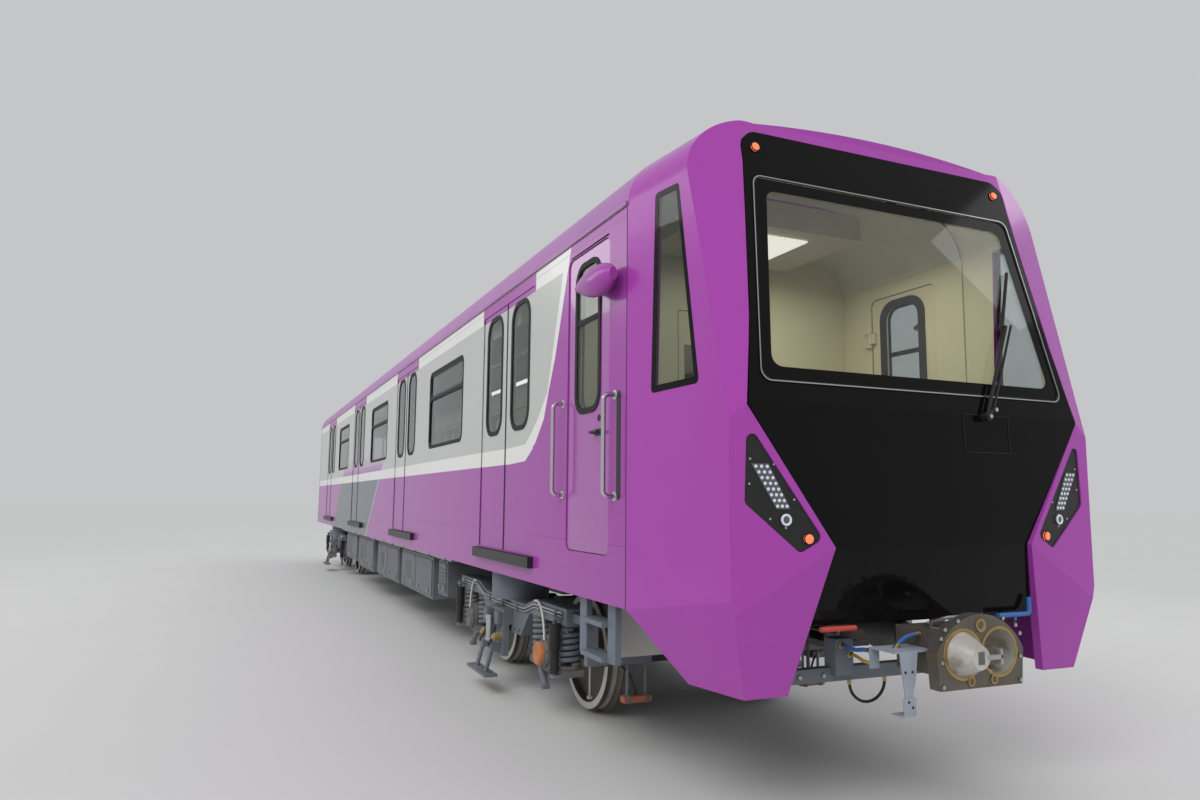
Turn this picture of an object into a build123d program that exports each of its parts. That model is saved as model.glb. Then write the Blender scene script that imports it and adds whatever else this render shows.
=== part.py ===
"""Head car of a metro train: hollow body, cab mask, plug doors, two powered bogies and couplers.

Millimetres. X runs forward to the cab, Y to the left side of the car and Z up.
The origin lies under the middle of the car, level with the lowest point of the wheel flanges.
"""
import os
from math import radians, tan

from build123d import *

# Overall sizes
BODY_WIDTH = 2704           # outside of the side walls
SILL_Z = 1000               # lower edge of the side walls
EAVES_Z = 3350              # rain gutter, where the side wall meets the roof
SHOULDER_Z = 3685           # end of the roof's corner arc
CROWN_Z = 3735              # top of the roof
SHOULDER_RUN = 402          # how far the corner arc reaches in from the side
FLOOR_Z = 1180              # saloon floor
BODY_REAR = -9440           # rear end of the side walls
SEAM_X = 8640               # joint between the body and the cab mask
COUPLER_FACE = 9860         # distance of each coupler's face from the middle
SALOON_MID = -320           # midpoint between the first and the last passenger door
PIVOT_MID = -490            # midpoint between the two bogies
PIVOT_PITCH = 12600         # between the bogie pivots

# Walls
SIDE_WALL = 60
ROOF_WALL = 60
END_WALL = 60
MASK_WALL = 50
GLASS = 8
FIT = 0.3                   # gap between pieces that are only seated on each other
DOOR_GAP = 0.5              # gap round a closed passenger door leaf
HINGED_GAP = 6              # gap round a door that swings

HALF_WIDTH = BODY_WIDTH / 2
INNER_Y = HALF_WIDTH - SIDE_WALL
FRONT_PIVOT = PIVOT_MID + PIVOT_PITCH / 2
REAR_PIVOT = PIVOT_MID - PIVOT_PITCH / 2

# Passenger doors and windows, one row on each side
DOOR_PITCH = 4400
DOORS_X = [SALOON_MID + DOOR_PITCH * k for k in (1.5, 0.5, -0.5, -1.5)]
DOOR_WIDTH = 1430
DOOR_TOP = 3250
DOOR_BOTTOM = 1190
DOOR_THICKNESS = 40
DOOR_CORNER = 30
DOOR_RECESS = 8             # leaf's face behind the side wall's face
DOOR_PANE = (420, 1000, 140)        # width, height, corner radius
DOOR_PANE_OFFSET = 355      # pane's centre from the door's centre line
DOOR_PANE_Z = 2680
WINDOWS_X = [SALOON_MID + DOOR_PITCH * k for k in (1, 0, -1)]
WINDOW = (1550, 880, 100)           # width, height, corner radius
WINDOW_Z = 2610
WINDOW_FRAME = 38           # width of the rubber frame
WINDOW_BAR_Z = 2735         # bar under the tilting light
STEP = (1540, 45, 80)       # length, reach out of the side, height
STEP_Z = 1145

# Cab door
CAB_DOOR = (690, 1960, 60)          # width, height, corner radius
CAB_DOOR_X = SEAM_X - 595
CAB_DOOR_Z = 1277 + 1960 / 2
CAB_DOOR_THICKNESS = 40
CAB_DOOR_PANE = (370, 960, 110)
CAB_DOOR_PANE_X = SEAM_X - 605
CAB_DOOR_PANE_Z = 2665
LATCH_GAP = 10              # gap at the edge away from the hinge, which swings through an arc
HINGE_TALL = 140
HINGE_PIN_R = 8
KNUCKLE_R = 14
HINGE_CLEAR = 20            # hinge axis inside the inner face of what it hangs on
CAB_HINGE_X = CAB_DOOR_X - CAB_DOOR[0] / 2 + HINGED_GAP
CAB_HINGE_Y = INNER_Y - HINGE_CLEAR
CAB_HINGES_Z = (1560, 2240, 2920)

# Cab mask, measured from the seam
MASK_TAPER = 0.115          # how much each side draws in per millimetre forward
MASK_DEPTH = 1000
MASK_SKIRT_Z = 668
KNEE_HIGH = (935, 2095)     # x from the seam, z: foot of the leaning windscreen face
KNEE_LOW = (955, 1384)
NOSE_TOP = (615, 3690)
NOSE_FOOT = (868, 995)
PANEL_THICKNESS = 30
PANEL_GAP = 6
PANEL_CORNER = 100
SCREEN = ((937, 3359), (1060, 2199))    # half width and height at top and bottom
SCREEN_CORNER = 60
SCREEN_FRAME = 12

# Running gear
WHEEL_R = 430               # tread circle
FLANGE = 28                 # flange height below the tread
AXLE_Z = WHEEL_R + FLANGE
RIM_R = WHEEL_R - 55        # inner edge of the wheel's rim
WHEELBASE = 2100
BEAM_Y = 1090               # middle of the bogie's side beam
BEAM_WIDTH = 170
PIVOT_R = 110
PIVOT_HOLE_R = 140

# Couplers
COUPLER_Z = 880
COUPLER_PIVOT = 1080        # pivot behind the coupler's face
PIN_R = 40
PIN_FIT = 0.05

os.makedirs("parts", exist_ok=True)


def block(x, y, z, mode=Mode.ADD):
    """Add a rectangular member given by its (low, high) pair on each axis."""
    with Locations((sum(x) / 2, sum(y) / 2, sum(z) / 2)):
        Box(x[1] - x[0], y[1] - y[0], z[1] - z[0], mode=mode)


def mirrored(inner, outer, side):
    """The (low, high) pair of a stretch that lies to one side of the middle."""
    return tuple(sorted((side * inner, side * outer)))


def rod(start, end, radius, mode=Mode.ADD):
    """Add a round bar between two points."""
    axis = Vector(*end) - Vector(*start)
    middle = (Vector(*start) + Vector(*end)) / 2
    with Locations(Plane(middle, z_dir=axis)):
        Cylinder(radius, axis.length, mode=mode)


def across(x, y, z, radius, width, mode=Mode.ADD):
    """Add a disc or drum whose axis runs across the car."""
    with Locations(Plane((x, y, z), z_dir=(0, 1, 0))):
        Cylinder(radius, width, mode=mode)


def tube(points, bends, radius):
    """Round bar or hose along straight runs joined by tangent arcs."""
    points = [Vector(*point) for point in points]
    with BuildPart() as bar:
        with BuildLine() as path:
            FilletPolyline(*points, radius=bends)
        with BuildSketch(Plane(points[0], z_dir=points[1] - points[0])):
            Circle(radius)
        sweep(path=path.line)
    return bar.part


def shave(origin, facing):
    """Cut away everything in front of a plane."""
    with Locations(Plane(origin, z_dir=facing)):
        Box(3 * BODY_WIDTH, 3 * BODY_WIDTH, BODY_WIDTH, align=(Align.CENTER, Align.CENTER, Align.MIN),
            mode=Mode.SUBTRACT)


def save(builder, name):
    """Label a finished piece and write its STEP file."""
    builder.part.label = name
    export_step(builder.part, f"parts/{name}.step")


def door_hinges(x, y, heights, wall):
    """Hinge pins with their lugs, on the side of the door frame; wall is the (low, high) X and Y of a lug."""
    for z in heights:
        rod((x, y, z - HINGE_TALL / 2), (x, y, z + HINGE_TALL / 2), HINGE_PIN_R)
        for end in (-1, 1):
            lug = tuple(sorted((z + end * HINGE_TALL / 2, z + end * (HINGE_TALL / 2 - 25))))
            block(wall[0], wall[1], lug)


def door_knuckles(x, y, heights, strap):
    """Knuckles on the leaf that turn on the hinge pins; strap is the (low, high) X and Y of its arm."""
    for z in heights:
        span = (z - HINGE_TALL / 2 + 30, z + HINGE_TALL / 2 - 30)
        rod((x, y, span[0]), (x, y, span[1]), KNUCKLE_R)
        block(strap[0], strap[1], span)
    for z in heights:
        rod((x, y, z - HINGE_TALL), (x, y, z + HINGE_TALL), HINGE_PIN_R + PIN_FIT, Mode.SUBTRACT)


def body_section(half_width, foot, plane=Plane.YZ):
    """Outline of the body shell with its arched roof."""
    shoulder = half_width - SHOULDER_RUN
    bend = (half_width - 0.27 * SHOULDER_RUN, EAVES_Z + 0.72 * (SHOULDER_Z - EAVES_Z))
    with BuildSketch(plane) as section:
        with BuildLine():
            Line((-half_width, foot), (-half_width, EAVES_Z))
            ThreePointArc((-half_width, EAVES_Z), (-bend[0], bend[1]), (-shoulder, SHOULDER_Z))
            ThreePointArc((-shoulder, SHOULDER_Z), (0, CROWN_Z), (shoulder, SHOULDER_Z))
            ThreePointArc((shoulder, SHOULDER_Z), bend, (half_width, EAVES_Z))
            Line((half_width, EAVES_Z), (half_width, foot))
            Line((half_width, foot), (-half_width, foot))
        make_face()
    return section.sketch


def side_rounds(rows, width, height, radius, plane=Plane.XZ):
    """Rounded rectangles on a side plane, one for each (x, z)."""
    with BuildSketch(plane) as outline:
        with Locations(*rows):
            RectangleRounded(width, height, radius)
    return outline.sketch


def side_polygon(points, plane=Plane.XZ, radius=0, top_radius=0):
    """Closed polygon on a side plane, with equal rounded corners or only its four highest ones rounded."""
    with BuildSketch(plane) as outline:
        with BuildLine():
            Polyline(*points, close=True)
        make_face()
        if radius:
            fillet(outline.vertices(), radius)
        if top_radius:
            fillet(outline.vertices().sort_by(Axis.Y)[-4:], top_radius)
    return outline.sketch


def seam(x):
    """X in the car's frame of a point given forward of the mask seam."""
    return SEAM_X + x


# Underframe: sills, floor, cross members, bolsters with their pivots and the draft pockets
SILL_WIDTH = 80
SLAB = 40
CROSS_PITCH = 1100
STRINGER = (300, 520)       # inner and outer half width of the beams that carry equipment
NOSE_FLOOR = 520            # how far the cab floor reaches into the mask
with BuildPart() as underframe:
    block((BODY_REAR, SEAM_X), (-INNER_Y, INNER_Y), (FLOOR_Z - SLAB, FLOOR_Z))
    for side in (-1, 1):
        block((BODY_REAR, SEAM_X), mirrored(INNER_Y - SILL_WIDTH, INNER_Y, side), (SILL_Z, FLOOR_Z))
    cross_count = int((SEAM_X - BODY_REAR) / CROSS_PITCH)
    for k in range(1, cross_count + 1):
        x = BODY_REAR + k * CROSS_PITCH
        block((x - 30, x + 30), (-INNER_Y, INNER_Y), (SILL_Z + 40, FLOOR_Z))
    for x in (BODY_REAR + 60, SEAM_X - 60):
        block((x - 60, x + 60), (-INNER_Y, INNER_Y), (SILL_Z, FLOOR_Z))
    for side in (-1, 1):
        block((REAR_PIVOT, FRONT_PIVOT), mirrored(*STRINGER, side), (SILL_Z + 40, FLOOR_Z))
    block((SEAM_X, seam(NOSE_FLOOR)), (-1130, 1130), (FLOOR_Z - SLAB, FLOOR_Z))
    for x in (FRONT_PIVOT, REAR_PIVOT):
        block((x - 330, x + 330), (-INNER_Y, INNER_Y), (SILL_Z, FLOOR_Z))
        with Locations((x, 0, (SILL_Z + 600) / 2)):
            Cylinder(PIVOT_R, SILL_Z - 600)
    for end in (-1, 1):
        pin_x = end * (COUPLER_FACE - COUPLER_PIVOT)
        back = end * (COUPLER_FACE - COUPLER_PIVOT - 700)
        front = end * (COUPLER_FACE - COUPLER_PIVOT + 110)
        span = tuple(sorted((back, front)))
        for z in ((COUPLER_Z - 125, COUPLER_Z - 90), (COUPLER_Z + 90, COUPLER_Z + 125)):
            block(span, (-150, 150), z)
        wall = tuple(sorted((back, back + end * 60)))
        block(wall, (-150, 150), (COUPLER_Z - 125, FLOOR_Z - SLAB))
        cheek = tuple(sorted((back, back + end * 480)))
        for side in (-1, 1):
            block(cheek, mirrored(150, 180, side), (COUPLER_Z - 125, FLOOR_Z - SLAB))
        block(span, (-60, 60), (COUPLER_Z + 125, FLOOR_Z - SLAB))
        rod((pin_x, 0, COUPLER_Z - 110), (pin_x, 0, COUPLER_Z + 110), PIN_R)
save(underframe, "underframe")


# Side walls with their door and window openings
def side_wall(side):
    """One side wall, as thick as the whole wall, with its openings cut."""
    with BuildPart() as wall:
        block((BODY_REAR, SEAM_X), mirrored(INNER_Y, HALF_WIDTH, side), (SILL_Z, EAVES_Z))
        doors = side_rounds([(x, (DOOR_BOTTOM + DOOR_TOP) / 2) for x in DOORS_X],
                            DOOR_WIDTH, DOOR_TOP - DOOR_BOTTOM, DOOR_CORNER)
        extrude(doors, amount=BODY_WIDTH, both=True, mode=Mode.SUBTRACT)
        windows = side_rounds([(x, WINDOW_Z) for x in WINDOWS_X], *WINDOW)
        extrude(windows, amount=BODY_WIDTH, both=True, mode=Mode.SUBTRACT)
        cab = side_rounds([(CAB_DOOR_X, CAB_DOOR_Z)], *CAB_DOOR)
        extrude(cab, amount=BODY_WIDTH, both=True, mode=Mode.SUBTRACT)
        lug = ((CAB_HINGE_X - 60, CAB_HINGE_X + 8), mirrored(CAB_HINGE_Y - 8, INNER_Y, side))
        door_hinges(CAB_HINGE_X, side * CAB_HINGE_Y, CAB_HINGES_Z, lug)
    return wall


for name, side in (("left", 1), ("right", -1)):
    save(side_wall(side), f"{name}_side_wall")

# Roof: one arched shell with a gutter along each edge and wells for the air conditioners
GUTTER = (14, 22)           # reach, height
AC_UNITS = [                # middle x, length, width, depth below the crown
    (SALOON_MID + 3700, 2900, 1500, 330),
    (SALOON_MID - 3700, 2900, 1500, 330),
    (SEAM_X - 750, 900, 1300, 260),
]
with BuildPart() as roof:
    extrude(body_section(HALF_WIDTH, EAVES_Z - 200), amount=SEAM_X)
    extrude(body_section(HALF_WIDTH, EAVES_Z - 200), amount=BODY_REAR)
    shoulder_in = body_section(INNER_Y, EAVES_Z - 300).moved(Location((0, 0, -ROOF_WALL)))
    extrude(shoulder_in, amount=2 * SEAM_X, both=True, mode=Mode.SUBTRACT)
    block((BODY_REAR * 2, SEAM_X * 2), (-BODY_WIDTH, BODY_WIDTH), (0, EAVES_Z), Mode.SUBTRACT)
    for side in (-1, 1):
        block((BODY_REAR, SEAM_X), mirrored(HALF_WIDTH - 10, HALF_WIDTH + GUTTER[0], side),
              (EAVES_Z, EAVES_Z + GUTTER[1]))
    for x, length, width, depth in AC_UNITS:
        block((x - length / 2, x + length / 2), (-width / 2, width / 2), (EAVES_Z, CROWN_Z + 100),
              Mode.SUBTRACT)
save(roof, "roof")

# Air conditioners: arched lids flush with the roof, louvred sides and fan openings
FAN_R = 270
with BuildPart() as air_conditioners:
    for x, length, width, depth in AC_UNITS:
        section = body_section(HALF_WIDTH, SILL_Z, Plane.YZ.offset(x - length / 2 + FIT))
        with BuildPart(mode=Mode.PRIVATE) as unit:
            extrude(section, amount=length - 2 * FIT)
            block((x - length, x + length), (-width / 2 + FIT, width / 2 - FIT),
                  (CROWN_Z - depth, CROWN_Z + 100), Mode.INTERSECT)
            fans = 3 if length > 2000 else 1
            for k in range(fans):
                with Locations((x + (k - (fans - 1) / 2) * 850, 0, CROWN_Z)):
                    Cylinder(FAN_R, 90, mode=Mode.SUBTRACT)
        add(unit.part)
        for k in range(fans):
            with Locations((x + (k - (fans - 1) / 2) * 850, 0, CROWN_Z - 38)):
                Cylinder(90, 26)
                Box(2 * FAN_R + 20, 30, 14)
                Box(30, 2 * FAN_R + 20, 14)
save(air_conditioners, "air_conditioners")

# Rear end wall with the open gangway
GANGWAY = (1300, 2000)      # clear width and height above the floor
GANGWAY_Z = FLOOR_Z + GANGWAY[1] / 2
with BuildPart() as rear_end_wall:
    extrude(body_section(HALF_WIDTH, SILL_Z, Plane.YZ.offset(BODY_REAR - END_WALL)), amount=END_WALL)
    block((BODY_REAR - 2 * END_WALL, BODY_REAR + END_WALL), (-GANGWAY[0] / 2, GANGWAY[0] / 2),
          (FLOOR_Z, FLOOR_Z + GANGWAY[1]), Mode.SUBTRACT)
save(rear_end_wall, "rear_end_wall")

# Gangway: folded rubber bellows and the metal frame that meets the next car
BELLOWS_FOLDS = 5
BELLOWS_LENGTH = 300
BELLOWS_START = BODY_REAR - END_WALL
with BuildPart() as gangway_bellows:
    fold = BELLOWS_LENGTH / BELLOWS_FOLDS / 2
    for k in range(2 * BELLOWS_FOLDS):
        swell = 70 if k % 2 else 20
        with BuildSketch(Plane.YZ.offset(BELLOWS_START - (k + 1) * fold)) as ring:
            with Locations((0, GANGWAY_Z)):
                RectangleRounded(GANGWAY[0] + swell + 110, GANGWAY[1] + swell + 110, 90)
                RectangleRounded(GANGWAY[0] + swell, GANGWAY[1] + swell, 60, mode=Mode.SUBTRACT)
        extrude(ring.sketch, amount=fold)
save(gangway_bellows, "gangway_bellows")

with BuildPart() as gangway_frame:
    frame_x = BELLOWS_START - BELLOWS_LENGTH
    with BuildSketch(Plane.YZ.offset(frame_x - 35)) as ring:
        with Locations((0, GANGWAY_Z)):
            RectangleRounded(GANGWAY[0] + 190, GANGWAY[1] + 190, 110)
            RectangleRounded(GANGWAY[0] + 20, GANGWAY[1] + 20, 50, mode=Mode.SUBTRACT)
    extrude(amount=35)
    block((frame_x - 35, BELLOWS_START), (-GANGWAY[0] / 2 + 60, GANGWAY[0] / 2 - 60),
          (FLOOR_Z - 10, FLOOR_Z + 6))
    for side in (-1, 1):
        block((frame_x - 35, frame_x), mirrored(GANGWAY[0] / 2 - 140, GANGWAY[0] / 2 - 60, side),
              (FLOOR_Z - 60, FLOOR_Z - 10))
save(gangway_frame, "gangway_frame")


# Cab mask: faceted shell drawn through two sections and cut to its creases
CORNER_POINT = (670, 985, 3426)     # on the facet beside the windscreen
CORNER_NORMAL = (0.9337, 0.2871, 0.2159)
CHEEK_POINT = (980, 675, 1384)      # inner corner of the cheek
CHEEK_NORMAL = (0.9943, 0.1064, 0)
CHIN_NORMAL = (0.983, 0, -0.1834)
SKIRT_SIDE_POINT = (920, 1232, 1085)
SKIRT_SIDE_NORMAL = (0.1484, 0.9542, -0.2596)
PANEL_OUTLINE = [           # half width, height of the black panel's edge, from the top down
    (903, 3632), (984, 3567), (985, 3426), (1019, 3075), (1074, 2544), (1150, 2078), (675, 1384), (900, 590),
]


def mask_solid(inset):
    """The mask's volume, drawn in by the given wall."""
    half = HALF_WIDTH - inset
    drop = Location((0, 0, -inset))
    with BuildPart() as volume:
        rear = body_section(half + MASK_TAPER * inset, 500, Plane.YZ.offset(seam(-inset)))
        front = body_section(half - MASK_TAPER * MASK_DEPTH, 500, Plane.YZ.offset(seam(MASK_DEPTH)))
        loft([rear.moved(drop), front.moved(drop)], ruled=True)
        profile = [
            (seam(-100), CROWN_Z + 100), (seam(NOSE_TOP[0] - inset), CROWN_Z + 100),
            (seam(NOSE_TOP[0] - inset), NOSE_TOP[1]), (seam(1076 - inset), 1384), (seam(1076 - inset), 400),
            (seam(-100), 400),
        ]
        extrude(side_polygon(profile), amount=BODY_WIDTH, both=True, mode=Mode.INTERSECT)
        for side in (-1, 1):
            facets = [(CORNER_POINT, CORNER_NORMAL), (CHEEK_POINT, CHEEK_NORMAL),
                      (CHEEK_POINT, CHIN_NORMAL), (SKIRT_SIDE_POINT, SKIRT_SIDE_NORMAL)]
            for point, normal in facets:
                facing = Vector(normal[0], side * normal[1], normal[2])
                origin = Vector(seam(point[0]), side * point[1], point[2]) - facing * inset
                shave(origin, facing)
    return volume.part


def front_outline(points, radius=0, top_radius=0):
    """Closed outline seen from the front, on a YZ plane, from points of the left half."""
    both = [(y, z) for y, z in points] + [(-y, z) for y, z in reversed(points)]
    return side_polygon(both, Plane.YZ.offset(SEAM_X), radius, top_radius)


MASK_WINDOW = [(292, 3322), (517, 3315), (686, 2202), (249, 2193)]  # from the seam, seen from the side
LAMP_PANEL = [(1152, 2000), (1168, 1600), (872, 1358), (742, 1428)]
LAMP_CORNER = 34

with BuildPart() as cab_mask:
    add(mask_solid(0))
    add(mask_solid(MASK_WALL), mode=Mode.SUBTRACT)
    block((seam(-200), seam(0)), (-BODY_WIDTH, BODY_WIDTH), (0, 2 * CROWN_Z), Mode.SUBTRACT)
    extrude(front_outline(PANEL_OUTLINE, top_radius=PANEL_CORNER), amount=MASK_DEPTH * 2, mode=Mode.SUBTRACT)
    skirt = [(seam(-50), SILL_Z), (seam(0), SILL_Z), (seam(430), MASK_SKIRT_Z),
             (seam(MASK_DEPTH + 100), MASK_SKIRT_Z), (seam(MASK_DEPTH + 100), 300), (seam(-50), 300)]
    extrude(side_polygon(skirt), amount=BODY_WIDTH, both=True, mode=Mode.SUBTRACT)
    windows = side_polygon([(seam(x), z) for x, z in MASK_WINDOW], radius=28)
    extrude(windows, amount=BODY_WIDTH, both=True, mode=Mode.SUBTRACT)
    for side in (-1, 1):
        lamp = side_polygon([(side * y, z) for y, z in LAMP_PANEL], Plane.YZ.offset(seam(600)), LAMP_CORNER)
        extrude(lamp, amount=MASK_DEPTH, mode=Mode.SUBTRACT)
save(cab_mask, "cab_mask")


# Black front panel with its windscreen
def front_plate(front, thickness):
    """A sheet that follows the leaning face, its front set forward or back and given a thickness."""
    face = [NOSE_TOP, KNEE_HIGH, KNEE_LOW, NOSE_FOOT]
    outer = [(seam(x + front), z) for x, z in face]
    inner = [(seam(x + front - thickness), z) for x, z in reversed(face)]
    with BuildPart() as sheet:
        extrude(side_polygon(outer + inner), amount=HALF_WIDTH, both=True)
    return sheet.part


def shrink(points, gap):
    """Draw an outline's half widths and heights in by a gap."""
    middle = sum(z for _, z in points) / len(points)
    return [(y - gap, z - gap if z > middle else z + gap) for y, z in points]


SCREEN_OUTLINE = [SCREEN[0], SCREEN[1]]
PANEL_STAY = (440, 520)     # inner and outer half width of the arms that carry the panel
with BuildPart() as front_panel:
    add(front_plate(0, PANEL_THICKNESS))
    panel_face = front_outline([(y - PANEL_GAP, z) for y, z in PANEL_OUTLINE], top_radius=PANEL_CORNER)
    extrude(panel_face, amount=MASK_DEPTH * 2, mode=Mode.INTERSECT)
    for side in (-1, 1):
        block((seam(NOSE_FLOOR), seam(885)), mirrored(*PANEL_STAY, side), (FLOOR_Z - SLAB, FLOOR_Z))
    extrude(front_outline(SCREEN_OUTLINE, SCREEN_CORNER), amount=MASK_DEPTH * 2, mode=Mode.SUBTRACT)
save(front_panel, "front_panel")

with BuildPart() as windscreen_frame:
    add(front_plate(6, PANEL_THICKNESS + 6))
    extrude(front_outline(shrink(SCREEN_OUTLINE, FIT), SCREEN_CORNER), amount=MASK_DEPTH * 2,
            mode=Mode.INTERSECT)
    extrude(front_outline(shrink(SCREEN_OUTLINE, SCREEN_FRAME), SCREEN_CORNER), amount=MASK_DEPTH * 2,
            mode=Mode.SUBTRACT)
save(windscreen_frame, "windscreen_frame")

with BuildPart() as windscreen:
    add(front_plate(-2, 14))
    extrude(front_outline(shrink(SCREEN_OUTLINE, SCREEN_FRAME + FIT), SCREEN_CORNER), amount=MASK_DEPTH * 2,
            mode=Mode.INTERSECT)
save(windscreen, "windscreen")

# Lamps: black triangular carriers in the cheeks, LED arrays, ring lamps and red lights
LAMP_SETBACK = 8            # carrier's face behind the cheek's face
CARRIER = 40
LED_ARRAY = [(1128, 1790), (1035, 1790), (919, 1572), (995, 1572)]
RING_LAMP = (945, 1520, 30)
TAIL_LAMP = (822, 1428, 26)
MARKER_LAMP = (891, 3533, 26)


def cheek_plane(y, z, side, behind):
    """Plane on the cheek's face at a height and a distance from the middle, set back by a given depth."""
    facing = Vector(CHEEK_NORMAL[0], side * CHEEK_NORMAL[1], 0).normalized()
    x = CHEEK_POINT[0] - (y - CHEEK_POINT[1]) * CHEEK_NORMAL[1] / CHEEK_NORMAL[0]
    return Plane(Vector(seam(x), side * y, z) - facing * behind, z_dir=facing)


def cheek_slab(outline, side, behind, thickness):
    """Plate that lies along the cheek's face, cut to an outline seen from the front."""
    with BuildPart() as slab:
        with Locations(cheek_plane(900, 1650, side, behind)):
            Box(1500, 1500, thickness, align=(Align.CENTER, Align.CENTER, Align.MAX))
        extrude(outline, amount=2 * MASK_DEPTH, mode=Mode.INTERSECT)
    return slab.part


def face_x(z):
    """How far forward of the seam the leaning windscreen face stands at a height."""
    lean = (NOSE_TOP[0] - KNEE_HIGH[0]) / (NOSE_TOP[1] - KNEE_HIGH[1])
    return KNEE_HIGH[0] + lean * (z - KNEE_HIGH[1])


def face_plane(y, z, ahead):
    """Plane parallel to the windscreen face, a given distance in front of it."""
    lean = Vector(KNEE_HIGH[0] - NOSE_TOP[0], 0, KNEE_HIGH[1] - NOSE_TOP[1])
    facing = Vector(-lean.Z, 0, lean.X).normalized()
    return Plane(Vector(seam(face_x(z)), y, z) + facing * ahead, z_dir=facing)


with BuildPart() as headlamp_panels:
    for side in (-1, 1):
        outline = side_polygon([(side * y, z) for y, z in LAMP_PANEL], Plane.YZ.offset(SEAM_X), LAMP_CORNER)
        add(cheek_slab(offset(outline, amount=-FIT, mode=Mode.PRIVATE), side, LAMP_SETBACK, CARRIER))
save(headlamp_panels, "headlamp_panels")

with BuildPart() as headlamps:
    for side in (-1, 1):
        array = side_polygon([(side * y, z) for y, z in LED_ARRAY], Plane.YZ.offset(SEAM_X))
        add(cheek_slab(array, side, LAMP_SETBACK - 5, 5))
        with Locations(cheek_plane(RING_LAMP[0], RING_LAMP[1], side, LAMP_SETBACK - 4)):
            Cylinder(RING_LAMP[2], 8)
save(headlamps, "headlamps")

with BuildPart() as signal_lamps:
    for side in (-1, 1):
        with Locations(cheek_plane(TAIL_LAMP[0], TAIL_LAMP[1], side, LAMP_SETBACK - 4)):
            Cylinder(TAIL_LAMP[2], 8)
        with Locations(face_plane(side * MARKER_LAMP[0], MARKER_LAMP[1], 4)):
            Cylinder(MARKER_LAMP[2], 8)
save(signal_lamps, "signal_lamps")

# Glass that stays put: saloon windows, tilting lights, door panes and the mask's side windows
with BuildPart() as window_frames:
    for side in (-1, 1):
        face = Plane.XZ.offset(-side * (HALF_WIDTH + 2))
        depth = 52
        width, height, radius = WINDOW
        extrude(side_rounds([(x, WINDOW_Z) for x in WINDOWS_X], width - 2 * FIT, height - 2 * FIT, radius,
                            face),
                amount=side * depth)
        lower = WINDOW_BAR_Z - 15 - (WINDOW_Z - height / 2 + WINDOW_FRAME)
        upper = (WINDOW_Z + height / 2 - WINDOW_FRAME) - WINDOW_BAR_Z - 15
        clear = width - 2 * WINDOW_FRAME
        low_z = WINDOW_BAR_Z - 15 - lower / 2
        high_z = WINDOW_BAR_Z + 15 + upper / 2
        for z, tall in ((low_z, lower), (high_z, upper)):
            extrude(side_rounds([(x, z) for x in WINDOWS_X], clear, tall, 60, face), amount=side * depth,
                    mode=Mode.SUBTRACT)
save(window_frames, "window_frames")

MASK_GLASS_BEHIND = 3
MASK_GLASS = 12


def mask_pane(side):
    """Pane of the cab mask's side window, parallel to the tapering side."""
    outline = side_polygon([(seam(x), z) for x, z in MASK_WINDOW], radius=28)
    facing = Vector(MASK_TAPER, side, 0).normalized()
    origin = Vector(seam(0), side * HALF_WIDTH, WINDOW_Z) - facing * MASK_GLASS_BEHIND
    with BuildPart() as pane:
        with Locations(Plane(origin, z_dir=facing)):
            Box(3 * MASK_DEPTH, 3 * MASK_DEPTH, MASK_GLASS, align=(Align.CENTER, Align.CENTER, Align.MAX))
        extrude(offset(outline, amount=-FIT, mode=Mode.PRIVATE), amount=BODY_WIDTH, both=True,
                mode=Mode.INTERSECT)
    return pane.part


with BuildPart() as side_glass:
    for side in (-1, 1):
        face = Plane.XZ.offset(-side * (HALF_WIDTH - 12))
        for z, tall in ((low_z, lower), (high_z, upper)):
            extrude(side_rounds([(x, z) for x in WINDOWS_X], clear - 2 * FIT, tall - 2 * FIT, 60, face),
                    amount=side * GLASS)
        pane_face = Plane.XZ.offset(-side * (HALF_WIDTH - DOOR_RECESS - 2))
        rows = [(x + s * DOOR_PANE_OFFSET, DOOR_PANE_Z) for x in DOORS_X for s in (-1, 1)]
        width, height, radius = DOOR_PANE
        extrude(side_rounds(rows, width - 2 * FIT, height - 2 * FIT, radius, pane_face), amount=side * GLASS)
        add(mask_pane(side))
save(side_glass, "side_glass")

# Passenger doors: two leaves in each opening, with a tall rounded pane
LEAF = (DOOR_WIDTH - 3 * DOOR_GAP) / 2
LEAF_TALL = DOOR_TOP - DOOR_BOTTOM - 2 * DOOR_GAP
LEAF_Z = (DOOR_TOP + DOOR_BOTTOM) / 2


def is_outer_corner(corner):
    """True for a leaf's corners at the jambs, not those at the meeting edge."""
    reach = min(abs(corner.X - x) for x in DOORS_X)
    return reach > LEAF / 2


with BuildPart() as passenger_doors:
    for side in (-1, 1):
        face = Plane.XZ.offset(-side * (HALF_WIDTH - DOOR_RECESS))
        rows = [(x + s * (LEAF + DOOR_GAP) / 2, LEAF_Z) for x in DOORS_X for s in (-1, 1)]
        with BuildSketch(face) as leaves:
            with Locations(*rows):
                Rectangle(LEAF, LEAF_TALL)
            fillet([v for v in leaves.vertices() if is_outer_corner(v)], DOOR_CORNER)
            with Locations(*[(x + s * DOOR_PANE_OFFSET, DOOR_PANE_Z) for x in DOORS_X for s in (-1, 1)]):
                RectangleRounded(*DOOR_PANE, mode=Mode.SUBTRACT)
        extrude(leaves.sketch, amount=side * DOOR_THICKNESS)
save(passenger_doors, "passenger_doors")

with BuildPart() as door_steps:
    for side in (-1, 1):
        for x in DOORS_X:
            block((x - STEP[0] / 2, x + STEP[0] / 2), mirrored(HALF_WIDTH, HALF_WIDTH + STEP[1], side),
                  (STEP_Z - STEP[2] / 2, STEP_Z + STEP[2] / 2))
save(door_steps, "door_steps")


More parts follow.
